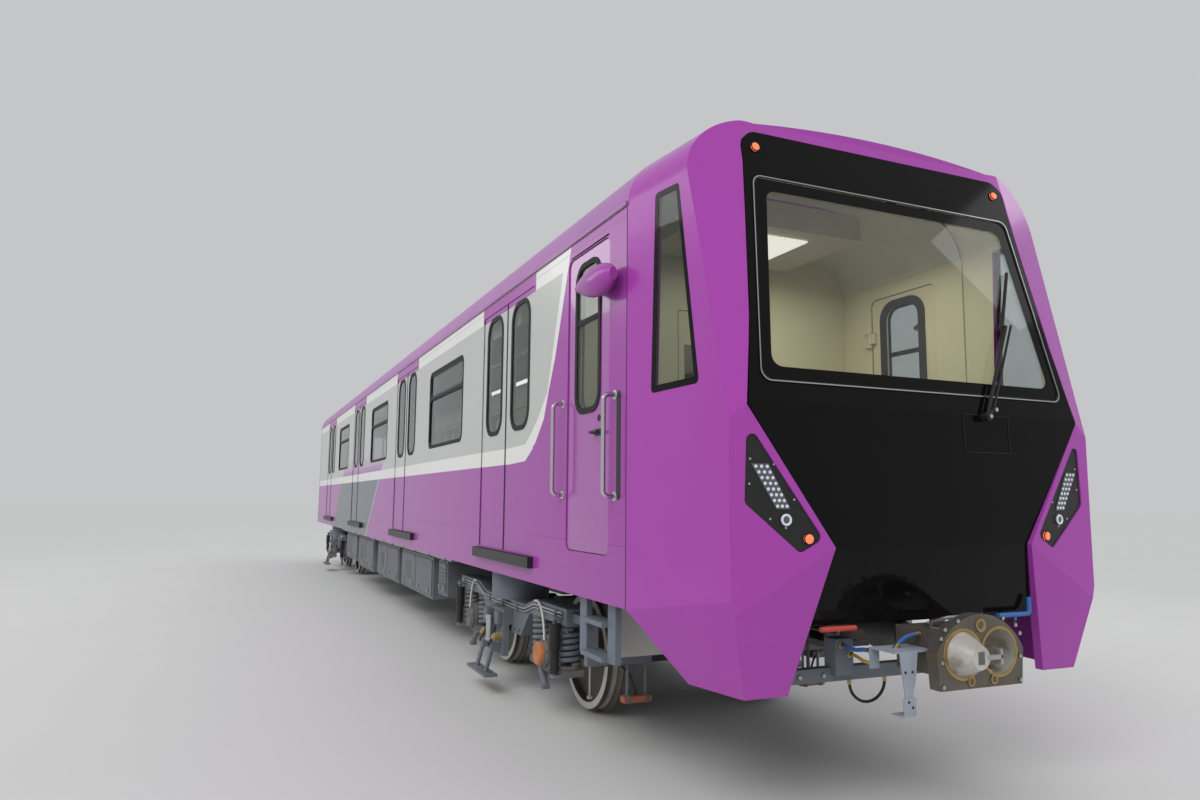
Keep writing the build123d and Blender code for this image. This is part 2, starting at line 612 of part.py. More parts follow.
# Cab doors, hinged on their rear edges and opening inwards
def cab_door(side):
    """Leaf with its pane opening, handle and the knuckles of its hinge."""
    width, height, radius = CAB_DOOR
    face = Plane.XZ.offset(-side * (HALF_WIDTH - DOOR_RECESS))
    middle = CAB_DOOR_X + (HINGED_GAP - LATCH_GAP) / 2
    inner = HALF_WIDTH - DOOR_RECESS - CAB_DOOR_THICKNESS
    with BuildPart() as leaf:
        extrude(side_rounds([(middle, CAB_DOOR_Z)], width - HINGED_GAP - LATCH_GAP, height - 2 * HINGED_GAP,
                            radius - HINGED_GAP, face), amount=side * CAB_DOOR_THICKNESS)
        strap = ((CAB_HINGE_X, CAB_HINGE_X + 50), mirrored(CAB_HINGE_Y, inner, side))
        door_knuckles(CAB_HINGE_X, side * CAB_HINGE_Y, CAB_HINGES_Z, strap)
        extrude(side_rounds([(CAB_DOOR_PANE_X, CAB_DOOR_PANE_Z)], *CAB_DOOR_PANE, face),
                amount=side * CAB_DOOR_THICKNESS, mode=Mode.SUBTRACT)
    return leaf


def cab_door_glass(side):
    """Fixed lower pane and drop light of a cab door, parted by the bar of the sash."""
    width, height, radius = CAB_DOOR_PANE
    face = Plane.XZ.offset(-side * (HALF_WIDTH - DOOR_RECESS - 4))
    with BuildPart() as pane:
        extrude(side_rounds([(CAB_DOOR_PANE_X, CAB_DOOR_PANE_Z)], width - 2 * FIT, height - 2 * FIT, radius,
                            face),
                amount=side * GLASS)
    return pane


for name, side in (("left", 1), ("right", -1)):
    save(cab_door(side), f"{name}_cab_door")
    save(cab_door_glass(side), f"{name}_cab_door_glass")

# Cab: partition with its hinged door, desk and driver's seat
PARTITION = (seam(-1310), seam(-1270))
PARTITION_DOOR = (620, 1900)        # width, height
INNER_HINGE_X = PARTITION[0] - HINGE_CLEAR
INNER_HINGE_Y = PARTITION_DOOR[0] / 2 - HINGED_GAP
INNER_HINGES_Z = (FLOOR_Z + 300, FLOOR_Z + 1600)
with BuildPart() as cab_partition:
    inside = body_section(INNER_Y - 2, FLOOR_Z, Plane.YZ.offset(PARTITION[0]))
    extrude(inside.moved(Location((0, 0, -ROOF_WALL - 4))), amount=PARTITION[1] - PARTITION[0])
    block((PARTITION[0] - 10, PARTITION[1] + 10), (-PARTITION_DOOR[0] / 2, PARTITION_DOOR[0] / 2),
          (FLOOR_Z - 200, FLOOR_Z + PARTITION_DOOR[1]), Mode.SUBTRACT)
    block((PARTITION[0] - 10, PARTITION[1] + 10), (-BODY_WIDTH, BODY_WIDTH), (0, FLOOR_Z), Mode.SUBTRACT)
    lug = ((INNER_HINGE_X - 8, PARTITION[0]), (INNER_HINGE_Y - 8, INNER_HINGE_Y + 60))
    door_hinges(INNER_HINGE_X, INNER_HINGE_Y, INNER_HINGES_Z, lug)
save(cab_partition, "cab_partition")

with BuildPart() as partition_door:
    block((PARTITION[0] + 5, PARTITION[1] - 5), (-PARTITION_DOOR[0] / 2 + LATCH_GAP, INNER_HINGE_Y),
          (FLOOR_Z + HINGED_GAP, FLOOR_Z + PARTITION_DOOR[1] - HINGED_GAP))
    strap = ((INNER_HINGE_X, PARTITION[0] + 5), (INNER_HINGE_Y - 50, INNER_HINGE_Y))
    door_knuckles(INNER_HINGE_X, INNER_HINGE_Y, INNER_HINGES_Z, strap)
    with Locations(Plane((PARTITION[1], 0, FLOOR_Z + 1450), z_dir=(1, 0, 0))):
        Box(360, 500, 100, mode=Mode.SUBTRACT)
save(partition_door, "partition_door")

DESK = [                    # profile of the desk seen from the side, from the seam
    (180, 1180), (700, 1180), (780, 1300), (838, 1650), (836, 2080), (560, 2110), (330, 1990), (230, 1960),
    (230, 1920), (420, 1880), (420, 1240), (180, 1240),
]
DESK_HALF = 1060
with BuildPart() as cab_desk:
    profile = side_polygon([(seam(x), z) for x, z in DESK])
    extrude(profile, amount=DESK_HALF, both=True)
    block((seam(0), seam(430)), (-330, 330), (FLOOR_Z, 1880), Mode.SUBTRACT)
save(cab_desk, "cab_desk")

SEAT_X = seam(-250)
with BuildPart() as cab_seat:
    with Locations((SEAT_X, 0, FLOOR_Z + 15)):
        Cylinder(200, 30)
    with Locations((SEAT_X, 0, FLOOR_Z + 200)):
        Cylinder(55, 350)
    block((SEAT_X - 210, SEAT_X + 210), (-220, 220), (FLOOR_Z + 370, FLOOR_Z + 400))
save(cab_seat, "cab_seat_base")

with BuildPart() as cab_seat_cushions:
    block((SEAT_X - 230, SEAT_X + 240), (-240, 240), (FLOOR_Z + 400 + FIT, FLOOR_Z + 500))
    back = side_polygon([(SEAT_X - 230, FLOOR_Z + 500), (SEAT_X - 130, FLOOR_Z + 500),
                         (SEAT_X - 200, FLOOR_Z + 1180), (SEAT_X - 290, FLOOR_Z + 1180)])
    extrude(back, amount=230, both=True)
save(cab_seat_cushions, "cab_seat_cushions")

# Saloon: benches along the walls, grab poles and the ceiling's light strips
BENCH_DEPTH = 460
BENCH_TOP = FLOOR_Z + 440
BENCHES = [                 # middle x, length
    (WINDOWS_X[0], 2760), (WINDOWS_X[1], 2760), (WINDOWS_X[2], 2760), (BODY_REAR + 830, 1560),
]
with BuildPart() as saloon_benches:
    for side in (-1, 1):
        for x, length in BENCHES:
            span = (x - length / 2, x + length / 2)
            shell = [(0, BENCH_TOP - 40), (BENCH_DEPTH - 60, BENCH_TOP - 30), (BENCH_DEPTH, BENCH_TOP - 60),
                     (BENCH_DEPTH, BENCH_TOP - 90), (150, BENCH_TOP - 110), (60, FLOOR_Z + 120),
                     (0, FLOOR_Z + 120)]
            profile = [(side * (INNER_Y - FIT - y), z) for y, z in shell]
            extrude(side_polygon(profile, Plane.YZ.offset(span[0])), amount=length)
            rest = [(0, BENCH_TOP - 40), (60, BENCH_TOP - 40), (30, BENCH_TOP + 380), (0, BENCH_TOP + 380)]
            profile = [(side * (INNER_Y - FIT - y), z) for y, z in rest]
            extrude(side_polygon(profile, Plane.YZ.offset(span[0])), amount=length)
save(saloon_benches, "saloon_benches")

CUSHION = 45
with BuildPart() as bench_cushions:
    for side in (-1, 1):
        for x, length in BENCHES:
            span = (x - length / 2 + 10, x + length / 2 - 10)
            block(span, mirrored(INNER_Y - 75, INNER_Y - BENCH_DEPTH + 65, side),
                  (BENCH_TOP - 30, BENCH_TOP + 15))
save(bench_cushions, "bench_cushions")

POLE_R = 16
POLE_Y = INNER_Y - BENCH_DEPTH - 40
RAIL_Z = 3060
POLE_TOP = 3633             # just under the arched ceiling
with BuildPart() as grab_poles:
    for side in (-1, 1):
        for x, length in BENCHES:
            ends = (x - length / 2 - 25, x + length / 2 + 25)
            if x < WINDOWS_X[2]:
                ends = (ends[0] + 60, ends[1])
            for end in ends:
                rod((end, side * POLE_Y, FLOOR_Z), (end, side * POLE_Y, POLE_TOP), POLE_R)
            rod((ends[0], side * POLE_Y, RAIL_Z), (ends[1], side * POLE_Y, RAIL_Z), POLE_R)
save(grab_poles, "grab_poles")

# Outside fittings: handrails, ladders, camera pods, wiper, front beam and end cock handles
RAIL_REACH = 75
RAIL_R = 14
RAILS = [(-1012, 1600, 2300), (-160, 1590, 2270)]       # x from the seam, foot, top
with BuildPart() as cab_handrails:
    for side in (-1, 1):
        y = side * (HALF_WIDTH + RAIL_REACH)
        for x, foot, top in RAILS:
            route = [(seam(x), side * HALF_WIDTH, foot + 40), (seam(x), y, foot + 40),
                     (seam(x), y, top - 40), (seam(x), side * HALF_WIDTH, top - 40)]
            add(tube(route, 35, RAIL_R))
save(cab_handrails, "cab_handrails")

LADDER = (seam(-820), seam(-270))
LADDER_FOOT = 640
APRON = (600, 1210)         # inner and outer half width of the plate behind the mask's skirt
APRON_X = (seam(-515), seam(-505))
with BuildPart() as cab_ladders:
    for side in (-1, 1):
        for x in (LADDER[0], LADDER[1] - 110):
            block((x, x + 110), mirrored(1250, 1290, side), (LADDER_FOOT, SILL_Z))
        for z in (LADDER_FOOT + 15, 860):
            block((LADDER[0] + 110, LADDER[1] - 110), mirrored(1200, 1330, side), (z - 15, z + 15))
        block(APRON_X, mirrored(*APRON, side), (LADDER_FOOT, SILL_Z))
save(cab_ladders, "cab_ladders")

POD = [(0, 2930, 40), (-80, 2930, 80), (-260, 2938, 97), (-450, 2955, 62), (-590, 2968, 14)]
POD_Y = HALF_WIDTH + 80     # middle of the pod; its table holds x from the seam, z and half height
POD_SET_BACK = 20
with BuildPart() as camera_pods:
    for side in (-1, 1):
        rings = []
        for x, z, radius in POD:
            with BuildSketch(Plane((seam(x) - POD_SET_BACK, side * POD_Y, z), z_dir=(-1, 0, 0))) as ring:
                Ellipse(radius, radius * 0.62)
            rings.append(ring.sketch)
        loft(rings)
        block((seam(-300), seam(-160)), mirrored(HALF_WIDTH, HALF_WIDTH + 45, side), (2905, 2970))
save(camera_pods, "camera_pods")

BEAM_Z = 715
BEAM_X = (seam(640), seam(700))
VALVE_BLOCK = ((seam(650), seam(740)), (-500, -385), (BEAM_Z, 900))
with BuildPart() as front_beam:
    block(BEAM_X, (-820, 820), (BEAM_Z - 35, BEAM_Z + 35))
    for side in (-1, 1):
        block(BEAM_X, mirrored(780, 820, side), (BEAM_Z + 35, 870))
        block((seam(400), seam(700)), mirrored(780, 820, side), (830, 870))
        block((seam(400), seam(440)), mirrored(780, 820, side), (870, FLOOR_Z - SLAB))
    block(*VALVE_BLOCK)
save(front_beam, "front_beam")

COCKS = [                   # y of the two ends of the handle, height, height of its upturned end
    (-728, -514, 985, 0), (468, 720, 1000, 90),
]
COCK_POST_X = seam(670)
COCK_ARM_Z = 960            # arm that passes under the foot of the panel
HANDLE_X = seam(915)
HANDLE_R = 13
with BuildPart() as end_cock_handles:
    for y_low, y_high, z, turn_up in COCKS:
        post_y = (y_low + y_high) / 2
        arm = [(COCK_POST_X, post_y, BEAM_Z + 35), (COCK_POST_X, post_y, COCK_ARM_Z),
               (HANDLE_X, post_y, COCK_ARM_Z), (HANDLE_X, post_y, z + 4)]
        add(tube(arm, [30, 12], 9))
        if turn_up:
            corner = (HANDLE_X, y_high - HANDLE_R)
            grip = [(HANDLE_X, y_low, z), (*corner, z), (*corner, z + turn_up)]
            add(tube(grip, 20, HANDLE_R))
        else:
            rod((HANDLE_X, y_low, z), (HANDLE_X, y_high, z), HANDLE_R)
save(end_cock_handles, "end_cock_handles")

WIPER_PIVOT = (398, 2085)
WIPER_ARMS = [              # y and z of both ends, distance ahead of the windscreen, radius
    (398, 2095, 700, 2640, 34, 10), (452, 2125, 745, 2650, 34, 7), (560, 2300, 840, 3000, 13, 9),
]
with BuildPart() as wiper:
    rod((seam(face_x(2085) + 0.5), *WIPER_PIVOT), (seam(985), *WIPER_PIVOT), 24)
    rod((seam(face_x(2125) + 3.2), 452, 2125), (seam(975), 452, 2125), 14)
    rod((seam(face_x(2095) + 34), 398, 2095), (seam(face_x(2125) + 34), 452, 2125), 12)
    for y0, z0, y1, z1, ahead, radius in WIPER_ARMS:
        rod((seam(face_x(z0) + ahead), y0, z0), (seam(face_x(z1) + ahead), y1, z1), radius)
    rod((seam(face_x(2640) + 34), 690, 2640), (seam(face_x(2640) + 13), 696, 2640), 9)
save(wiper, "wiper")
print("fittings done")


# Bogies: frame, wheelsets in their axle boxes on coil springs, motors and current collectors
BEAM_END = 1480
BEAM_PROFILE = [            # side beam seen from the side, from the pivot
    (-BEAM_END, 710), (-BEAM_END, 830), (-800, 830), (-560, 760), (560, 760), (800, 830),
    (BEAM_END, 830), (BEAM_END, 710), (675, 710), (460, 500), (-460, 500), (-675, 710),
]
TRANSOM_X = 260
TRANSOM_WIDTH = 180
JOURNAL_R = 60
JOURNAL_FIT = 0.05
COVER = 40                  # how far an axle box's end cover stands out
SPRING_X = 265
SPRING_R = 95
SPRING_SEAT = 390
AIR_SPRING_R = 250
AIR_SPRING_Y = 1030
JOURNAL_END = BEAM_Y + 75
MOTOR_X = 640
MOTOR_R = 225
GEAR_Y = 390
GEAR_R = 200
AXLE_R = 75
SHOE_ARM_X = 135
SHOE_HALF = 285
SHOE_Y = (1310, 1420)
RECEIVER_X = 1730           # receiver coils in front of the pivot
RECEIVER_Y = (640, 850)
RECEIVER_TOP = 258


def bogie_frame(pivot_x):
    """Welded frame: two cranked side beams, two transoms, the pivot's housing and the brake units."""
    with BuildPart() as frame:
        profile = side_polygon([(pivot_x + x, z) for x, z in BEAM_PROFILE])
        for side in (-1, 1):
            extrude(profile.moved(Location((0, side * BEAM_Y, 0))), amount=BEAM_WIDTH / 2, both=True)
            with Locations((pivot_x, side * AIR_SPRING_Y, (760 + SILL_Z - FIT) / 2)):
                Cylinder(AIR_SPRING_R, SILL_Z - FIT - 760)
        for end in (-1, 1):
            x = pivot_x + end * TRANSOM_X
            block((x - TRANSOM_WIDTH / 2, x + TRANSOM_WIDTH / 2), (-BEAM_Y, BEAM_Y), (520, 700))
            for side in (-1, 1):
                start = pivot_x + end * (TRANSOM_X + TRANSOM_WIDTH / 2)
                pad = tuple(sorted((start, start + end * 190)))
                block(pad, mirrored(745, 825, side), (540, 640))
        block((pivot_x - TRANSOM_X, pivot_x + TRANSOM_X), (-230, 230), (540, 690))
        with Locations((pivot_x, 0, 600)):
            Cylinder(PIVOT_HOLE_R, 400, mode=Mode.SUBTRACT)
    return frame


def axle_boxes(pivot_x):
    """Four axle boxes, each with the two spring seats and the springs that stand on them."""
    with BuildPart() as boxes:
        for end in (-1, 1):
            for side in (-1, 1):
                x = pivot_x + end * WHEELBASE / 2
                across(x, side * BEAM_Y, AXLE_Z, 140, BEAM_WIDTH)
                across(x, side * (BEAM_Y + BEAM_WIDTH / 2 + COVER / 2), AXLE_Z, 105, COVER)
                block((x - 370, x + 370), mirrored(BEAM_Y - 80, BEAM_Y + 80, side), (335, SPRING_SEAT))
                for turn in (-1, 1):
                    with Locations((x + turn * SPRING_X, side * BEAM_Y, (SPRING_SEAT + 710 - FIT) / 2)):
                        Cylinder(SPRING_R, 710 - FIT - SPRING_SEAT)
                across(x, side * (BEAM_Y - 6), AXLE_Z, JOURNAL_R + JOURNAL_FIT, BEAM_WIDTH + 12,
                       Mode.SUBTRACT)
    return boxes


def wheelset(x):
    """Axle with its two flanged wheels and journals, turned as one body."""
    half = [
        (0, 0), (AXLE_R, 0), (AXLE_R, 690), (110, 700), (110, 750), (RIM_R - 15, 770), (RIM_R, 720),
        (WHEEL_R + FLANGE - 6, 722), (WHEEL_R + FLANGE, 735), (WHEEL_R + 8, 750), (WHEEL_R, 765),
        (WHEEL_R - 4, 846), (WHEEL_R - 10, 850), (RIM_R, 850), (RIM_R - 15, 800), (110, 790), (110, 865),
        (JOURNAL_R, 870), (JOURNAL_R, JOURNAL_END), (0, JOURNAL_END),
    ]
    with BuildPart() as wheels:
        with BuildSketch(Plane((x, 0, AXLE_Z), x_dir=(1, 0, 0), z_dir=(0, 0, 1))) as profile:
            with BuildLine():
                Polyline(*half, close=True)
            make_face()
        revolve(profile.sketch, Axis((x, 0, AXLE_Z), (0, 1, 0)))
        mirror(about=Plane.XZ)
    return wheels


def traction_motors(pivot_x):
    """Two motors hung on the transoms, each with the gear case round its axle."""
    with BuildPart() as motors:
        for end in (-1, 1):
            x = pivot_x + end * MOTOR_X
            axle_x = pivot_x + end * WHEELBASE / 2
            across(x, -end * 120, 480, MOTOR_R, 700)
            foot = tuple(sorted((pivot_x + end * (TRANSOM_X + TRANSOM_WIDTH / 2), x)))
            block(foot, (-end * 120 - 200, -end * 120 + 200), (560, 660))
            across(axle_x, end * GEAR_Y, AXLE_Z, GEAR_R, 150)
            link = tuple(sorted((x, axle_x)))
            block(link, (end * GEAR_Y - 75, end * GEAR_Y + 75), (AXLE_Z - 110, AXLE_Z + 110))
            across(x, end * 280, 480, 130, 120)
            across(axle_x, end * GEAR_Y, AXLE_Z, AXLE_R + 6, 400, Mode.SUBTRACT)
    return motors


def collectors(pivot_x):
    """Current collectors on both side beams, each with its insulated bracket, arms and shoe."""
    plate = BEAM_Y + BEAM_WIDTH / 2
    with BuildPart() as pair:
        for side in (-1, 1):
            block((pivot_x - 240, pivot_x + 240), mirrored(plate, plate + 25, side), (560, 680))
            block((pivot_x - 220, pivot_x + 220), mirrored(plate + 25, plate + 75, side), (300, 680))
            for x in (pivot_x - SHOE_ARM_X, pivot_x + SHOE_ARM_X):
                block((x - 25, x + 25), mirrored(plate + 75, SHOE_Y[0] + 20, side), (330, 390))
                rod((x, side * (SHOE_Y[0] + 10), 360), (x, side * (SHOE_Y[0] + 60), 170), 18)
            block((pivot_x - SHOE_HALF, pivot_x + SHOE_HALF), mirrored(*SHOE_Y, side), (150, 172))
    return pair


def receiver_brackets(pivot_x):
    """Cranked arms from the ends of the side beams, with the rods that hold the receiver coils."""
    with BuildPart() as brackets:
        low, high = pivot_x + RECEIVER_X - 30, pivot_x + RECEIVER_X + 30
        for side in (-1, 1):
            arm = mirrored(BEAM_Y - 40, BEAM_Y + 40, side)
            block((pivot_x + BEAM_END, high), arm, (740, 800))
            block((low, high), arm, (480, 800))
            block((low, high), mirrored(RECEIVER_Y[0], BEAM_Y + 40, side), (480, 540))
            for y in (RECEIVER_Y[0] + 35, RECEIVER_Y[1] - 35):
                rod((pivot_x + RECEIVER_X, side * y, 500), (pivot_x + RECEIVER_X, side * y, RECEIVER_TOP), 10)
    return brackets


def receiver_coils(pivot_x):
    """Flat receiver coils that hang over the rails in front of the first wheelset."""
    with BuildPart() as coils:
        for side in (-1, 1):
            block((pivot_x + RECEIVER_X - 35, pivot_x + RECEIVER_X + 35), mirrored(*RECEIVER_Y, side),
                  (RECEIVER_TOP - 42, RECEIVER_TOP))
    return coils


for place, pivot_x, numbers in (("front", FRONT_PIVOT, (1, 2)), ("rear", REAR_PIVOT, (3, 4))):
    save(bogie_frame(pivot_x), f"{place}_bogie_frame")
    save(axle_boxes(pivot_x), f"{place}_axle_boxes")
    save(traction_motors(pivot_x), f"{place}_traction_motors")
    save(collectors(pivot_x), f"{place}_collectors")
    for number, end in zip(numbers, (1, -1)):
        save(wheelset(pivot_x + end * WHEELBASE / 2), f"wheelset_{number}")
save(receiver_brackets(FRONT_PIVOT), "receiver_brackets")
save(receiver_coils(FRONT_PIVOT), "receiver_coils")
print("bogies done")


# Couplers: shank with the pin's eye, head block, face plate, cone and funnel
FUNNEL_Y = 120
FUNNEL_R = 108
CONE_REACH = 110
HEAD_HALF = 235


def coupler(end):
    """Coupler of one end; the rear one is the front one turned round."""
    with BuildPart() as bar:
        eye_x = COUPLER_FACE - COUPLER_PIVOT
        with Locations((eye_x, 0, COUPLER_Z)):
            Cylinder(90, 168)
        rod((eye_x, 0, COUPLER_Z), (COUPLER_FACE - 320, 0, COUPLER_Z), 70)
        with Locations((eye_x, 0, COUPLER_Z)):
            Cylinder(PIN_R + PIN_FIT, 400, mode=Mode.SUBTRACT)
        block((COUPLER_FACE - 325, COUPLER_FACE - 70), (-HEAD_HALF, HEAD_HALF),
              (COUPLER_Z - 105, COUPLER_Z + 105))
        with BuildSketch(Plane.YZ.offset(COUPLER_FACE - 70)) as plate:
            with BuildLine():
                Polyline((285, COUPLER_Z + 10), (270, COUPLER_Z - 165), (-270, COUPLER_Z - 165),
                         (-285, COUPLER_Z + 10))
                ThreePointArc((-285, COUPLER_Z + 10), (0, COUPLER_Z + 185), (285, COUPLER_Z + 10))
            make_face()
        extrude(plate.sketch, amount=70)
        with Locations(Plane((COUPLER_FACE, -FUNNEL_Y, COUPLER_Z), z_dir=(1, 0, 0))):
            Cone(FUNNEL_R, 55, CONE_REACH, align=(Align.CENTER, Align.CENTER, Align.MIN))
        with Locations(Plane((COUPLER_FACE, FUNNEL_Y, COUPLER_Z), z_dir=(1, 0, 0))):
            Cylinder(FUNNEL_R, 190, align=(Align.CENTER, Align.CENTER, Align.MAX), mode=Mode.SUBTRACT)
        block((COUPLER_FACE - 10, COUPLER_FACE + 60), (-45, 25), (COUPLER_Z - 35, COUPLER_Z + 35),
              Mode.SUBTRACT)
    if end < 0:
        with BuildPart() as turned:
            add(bar.part.rotate(Axis.Z, 180))
        return turned
    return bar


save(coupler(1), "front_coupler")
save(coupler(-1), "rear_coupler")

BRACKET_X = (COUPLER_FACE - 255, COUPLER_FACE - 80)
BRACKET_TOP = COUPLER_Z + 18
with BuildPart() as hose_bracket:
    block(BRACKET_X, (-475, -HEAD_HALF), (BRACKET_TOP - 8, BRACKET_TOP))
    block((BRACKET_X[0], BRACKET_X[0] + 8), (-475, -418), (BRACKET_TOP - 105, BRACKET_TOP - 8))
    leg = side_polygon([(-440, BRACKET_TOP - 8), (-330, BRACKET_TOP - 8), (-345, BRACKET_TOP - 130),
                        (-365, BRACKET_TOP - 200), (-355, BRACKET_TOP - 300), (-420, BRACKET_TOP - 300),
                        (-415, BRACKET_TOP - 200), (-425, BRACKET_TOP - 130)],
                       Plane.YZ.offset(BRACKET_X[1] - 8))
    extrude(leg, amount=8)
save(hose_bracket, "hose_bracket")

# Hoses: hand-set routes, straight runs joined by arcs as large as the runs allow
BLUE_HOSE = [               # from the valve block to the bracket, x from the seam, y, z
    (740, -462, 868), (792, -462, 868), (848, -458, 860), (908, -452, 875), (965, -452, 875),
]
YELLOW_HOSE = [(740, -410, 822), (792, -410, 822), (848, -420, 808), (908, -440, 811), (965, -440, 811)]
JUMPER_HOSE = [             # from the bracket to the coupler's head
    (1040, -375, 893), (1042, -360, 916), (1046, -339, 936), (1052, -310, 952), (1059, -273, 961),
    (1059, -235, 961),
]
BLACK_HOSE = [              # loop under the front beam
    (670, -357, 680), (670, -357, 640), (670, -339, 600), (670, -305, 569), (670, -261, 552),
    (670, -213, 552), (670, -169, 569), (670, -135, 600), (670, -117, 640), (670, -117, 680),
]


def hose(route, diameter, label):
    """Tube along a route, with the largest tangent arc at each of its points."""
    points = [Vector(seam(x), y, z) for x, y, z in route]
    runs = [b - a for a, b in zip(points, points[1:])]
    radii = []
    for before, after in zip(runs, runs[1:]):
        turn = radians(before.get_angle(after))
        radii.append(0.45 * min(before.length, after.length) / tan(turn / 2))
    print(label, "radii", [round(r) for r in radii])
    with BuildPart() as line:
        add(tube(points, radii, diameter / 2))
    return line


for name, route, diameter in (("blue_hose", BLUE_HOSE, 22), ("yellow_hose", YELLOW_HOSE, 18),
                              ("jumper_hose", JUMPER_HOSE, 20), ("black_hose", BLACK_HOSE, 16)):
    save(hose(route, diameter, name), name)

# Underfloor equipment between the bogies, hung from the cross members, and the air tanks
CASES = [                   # middle x, length, inner and outer half width, foot, top
    (-3350, 1500, 420, 1240, 470), (-1500, 1700, 300, 1250, 430), (600, 1800, 420, 1240, 450),
    (2700, 1900, 330, 1250, 470), (4050, 420, 430, 1230, 560),
]
with BuildPart() as equipment_cases:
    for x, length, inner, outer, foot in CASES:
        middle = SALOON_MID + x
        for side in (-1, 1):
            block((middle - length / 2, middle + length / 2), mirrored(inner, outer, side),
                  (foot, SILL_Z - 60))
            for end in (-1, 1):
                strap = middle + end * (length / 2 - 90)
                block((strap - 25, strap + 25), mirrored(INNER_Y - 70, INNER_Y - 20, side),
                      (SILL_Z - 60, SILL_Z))
                block((strap - 25, strap + 25), mirrored(inner + 20, inner + 70, side),
                      (SILL_Z - 60, SILL_Z + 40))
save(equipment_cases, "equipment_cases")

TANK_R = 140
with BuildPart() as air_tanks:
    for x in (-2400, 1650):
        rod((SALOON_MID + x, -260, 700), (SALOON_MID + x, 260, 700), TANK_R)
        for y in (-180, 180):
            block((SALOON_MID + x - 25, SALOON_MID + x + 25), (y - 6, y + 6), (700, FLOOR_Z - SLAB))
save(air_tanks, "air_tanks")
print("done")
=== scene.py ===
"""Looks of the metro head car: finishes, fine pieces, hoses, cushions, lights and camera.

Metres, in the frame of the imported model: X forward to the cab, Y to the left side and Z up.
"""
import logging
import math
from dataclasses import dataclass
from enum import Enum
from itertools import product
from typing import Iterable, Iterator, NamedTuple, Optional, Sequence, Union

import bmesh
import bpy
from mathutils import Matrix, Vector


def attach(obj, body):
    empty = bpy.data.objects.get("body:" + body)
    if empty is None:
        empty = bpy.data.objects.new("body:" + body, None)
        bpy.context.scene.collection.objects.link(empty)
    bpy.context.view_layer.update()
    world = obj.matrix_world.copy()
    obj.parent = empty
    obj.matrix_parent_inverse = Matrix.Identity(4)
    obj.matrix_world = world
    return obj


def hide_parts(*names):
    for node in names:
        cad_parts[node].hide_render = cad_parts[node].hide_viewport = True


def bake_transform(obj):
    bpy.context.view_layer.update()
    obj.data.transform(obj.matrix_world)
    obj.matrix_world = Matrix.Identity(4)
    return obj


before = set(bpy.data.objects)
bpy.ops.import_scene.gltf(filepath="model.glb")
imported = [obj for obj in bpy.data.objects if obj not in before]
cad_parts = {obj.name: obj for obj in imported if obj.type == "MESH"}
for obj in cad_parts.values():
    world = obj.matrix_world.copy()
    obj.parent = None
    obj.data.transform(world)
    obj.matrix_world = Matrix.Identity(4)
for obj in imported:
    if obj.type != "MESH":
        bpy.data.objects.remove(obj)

log = logging.getLogger("metro_car")

Point = Sequence[float]
Color = tuple[float, float, float]
Socket = bpy.types.NodeSocket
Feed = Union[float, Sequence[float], Socket]

# Driving places, shared by several sub-assemblies
SEAM = 8.640
BODY_REAR = -9.440
HALF_WIDTH = 1.352
INNER_Y = 1.292
FLOOR_Z = 1.180
SILL_Z = 1.000
EAVES_Z = 3.350
SALOON_MID = -0.320
PIVOT_MID = -0.490
DOORS_X = tuple(SALOON_MID + 4.4 * k for k in (1.5, 0.5, -0.5, -1.5))
WINDOWS_X = tuple(SALOON_MID + 4.4 * k for k in (1, 0, -1))
DOOR_FACE = 1.344
MASK_SIDE_TAPER = 0.115
FACE_FOOT = (0.935, 2.095)
FACE_TOP = (0.615, 3.690)
FACE_SLOPE = (FACE_FOOT[0] - FACE_TOP[0]) / (FACE_TOP[1] - FACE_FOOT[1])
LEAN = (0.9805, 0.0, 0.1967)
SIDES = (-1, 1)

# Colours, as they look under plain white light
VIOLET: Color = (0.335, 0.050, 0.345)
VIOLET_DEEP: Color = (0.190, 0.030, 0.210)
LILAC: Color = (0.380, 0.130, 0.420)
FIELD_GREY: Color = (0.485, 0.500, 0.480)
BAND_WHITE: Color = (0.760, 0.755, 0.740)
SLATE: Color = (0.085, 0.108, 0.130)
CREAM: Color = (0.690, 0.640, 0.430)
BLACK: Color = (0.010, 0.010, 0.011)
DUST: Color = (0.330, 0.300, 0.265)
BLUE_GREY: Color = (0.095, 0.120, 0.155)
IRON: Color = (0.060, 0.062, 0.066)


class Body(Enum):
    """Moving bodies that pieces ride on."""

    CAR = "car_body"
    FRONT_BOGIE = "front_bogie"
    REAR_BOGIE = "rear_bogie"
    LEFT_DOOR = "left_cab_door"
    RIGHT_DOOR = "right_cab_door"
    INNER_DOOR = "partition_door"
    FRONT_COUPLER = "front_coupler"
    REAR_COUPLER = "rear_coupler"


def ahead(x: float) -> float:
    """X in the car's frame of a distance forward of the mask's seam."""
    return SEAM + x


# ---- node groups and materials ----


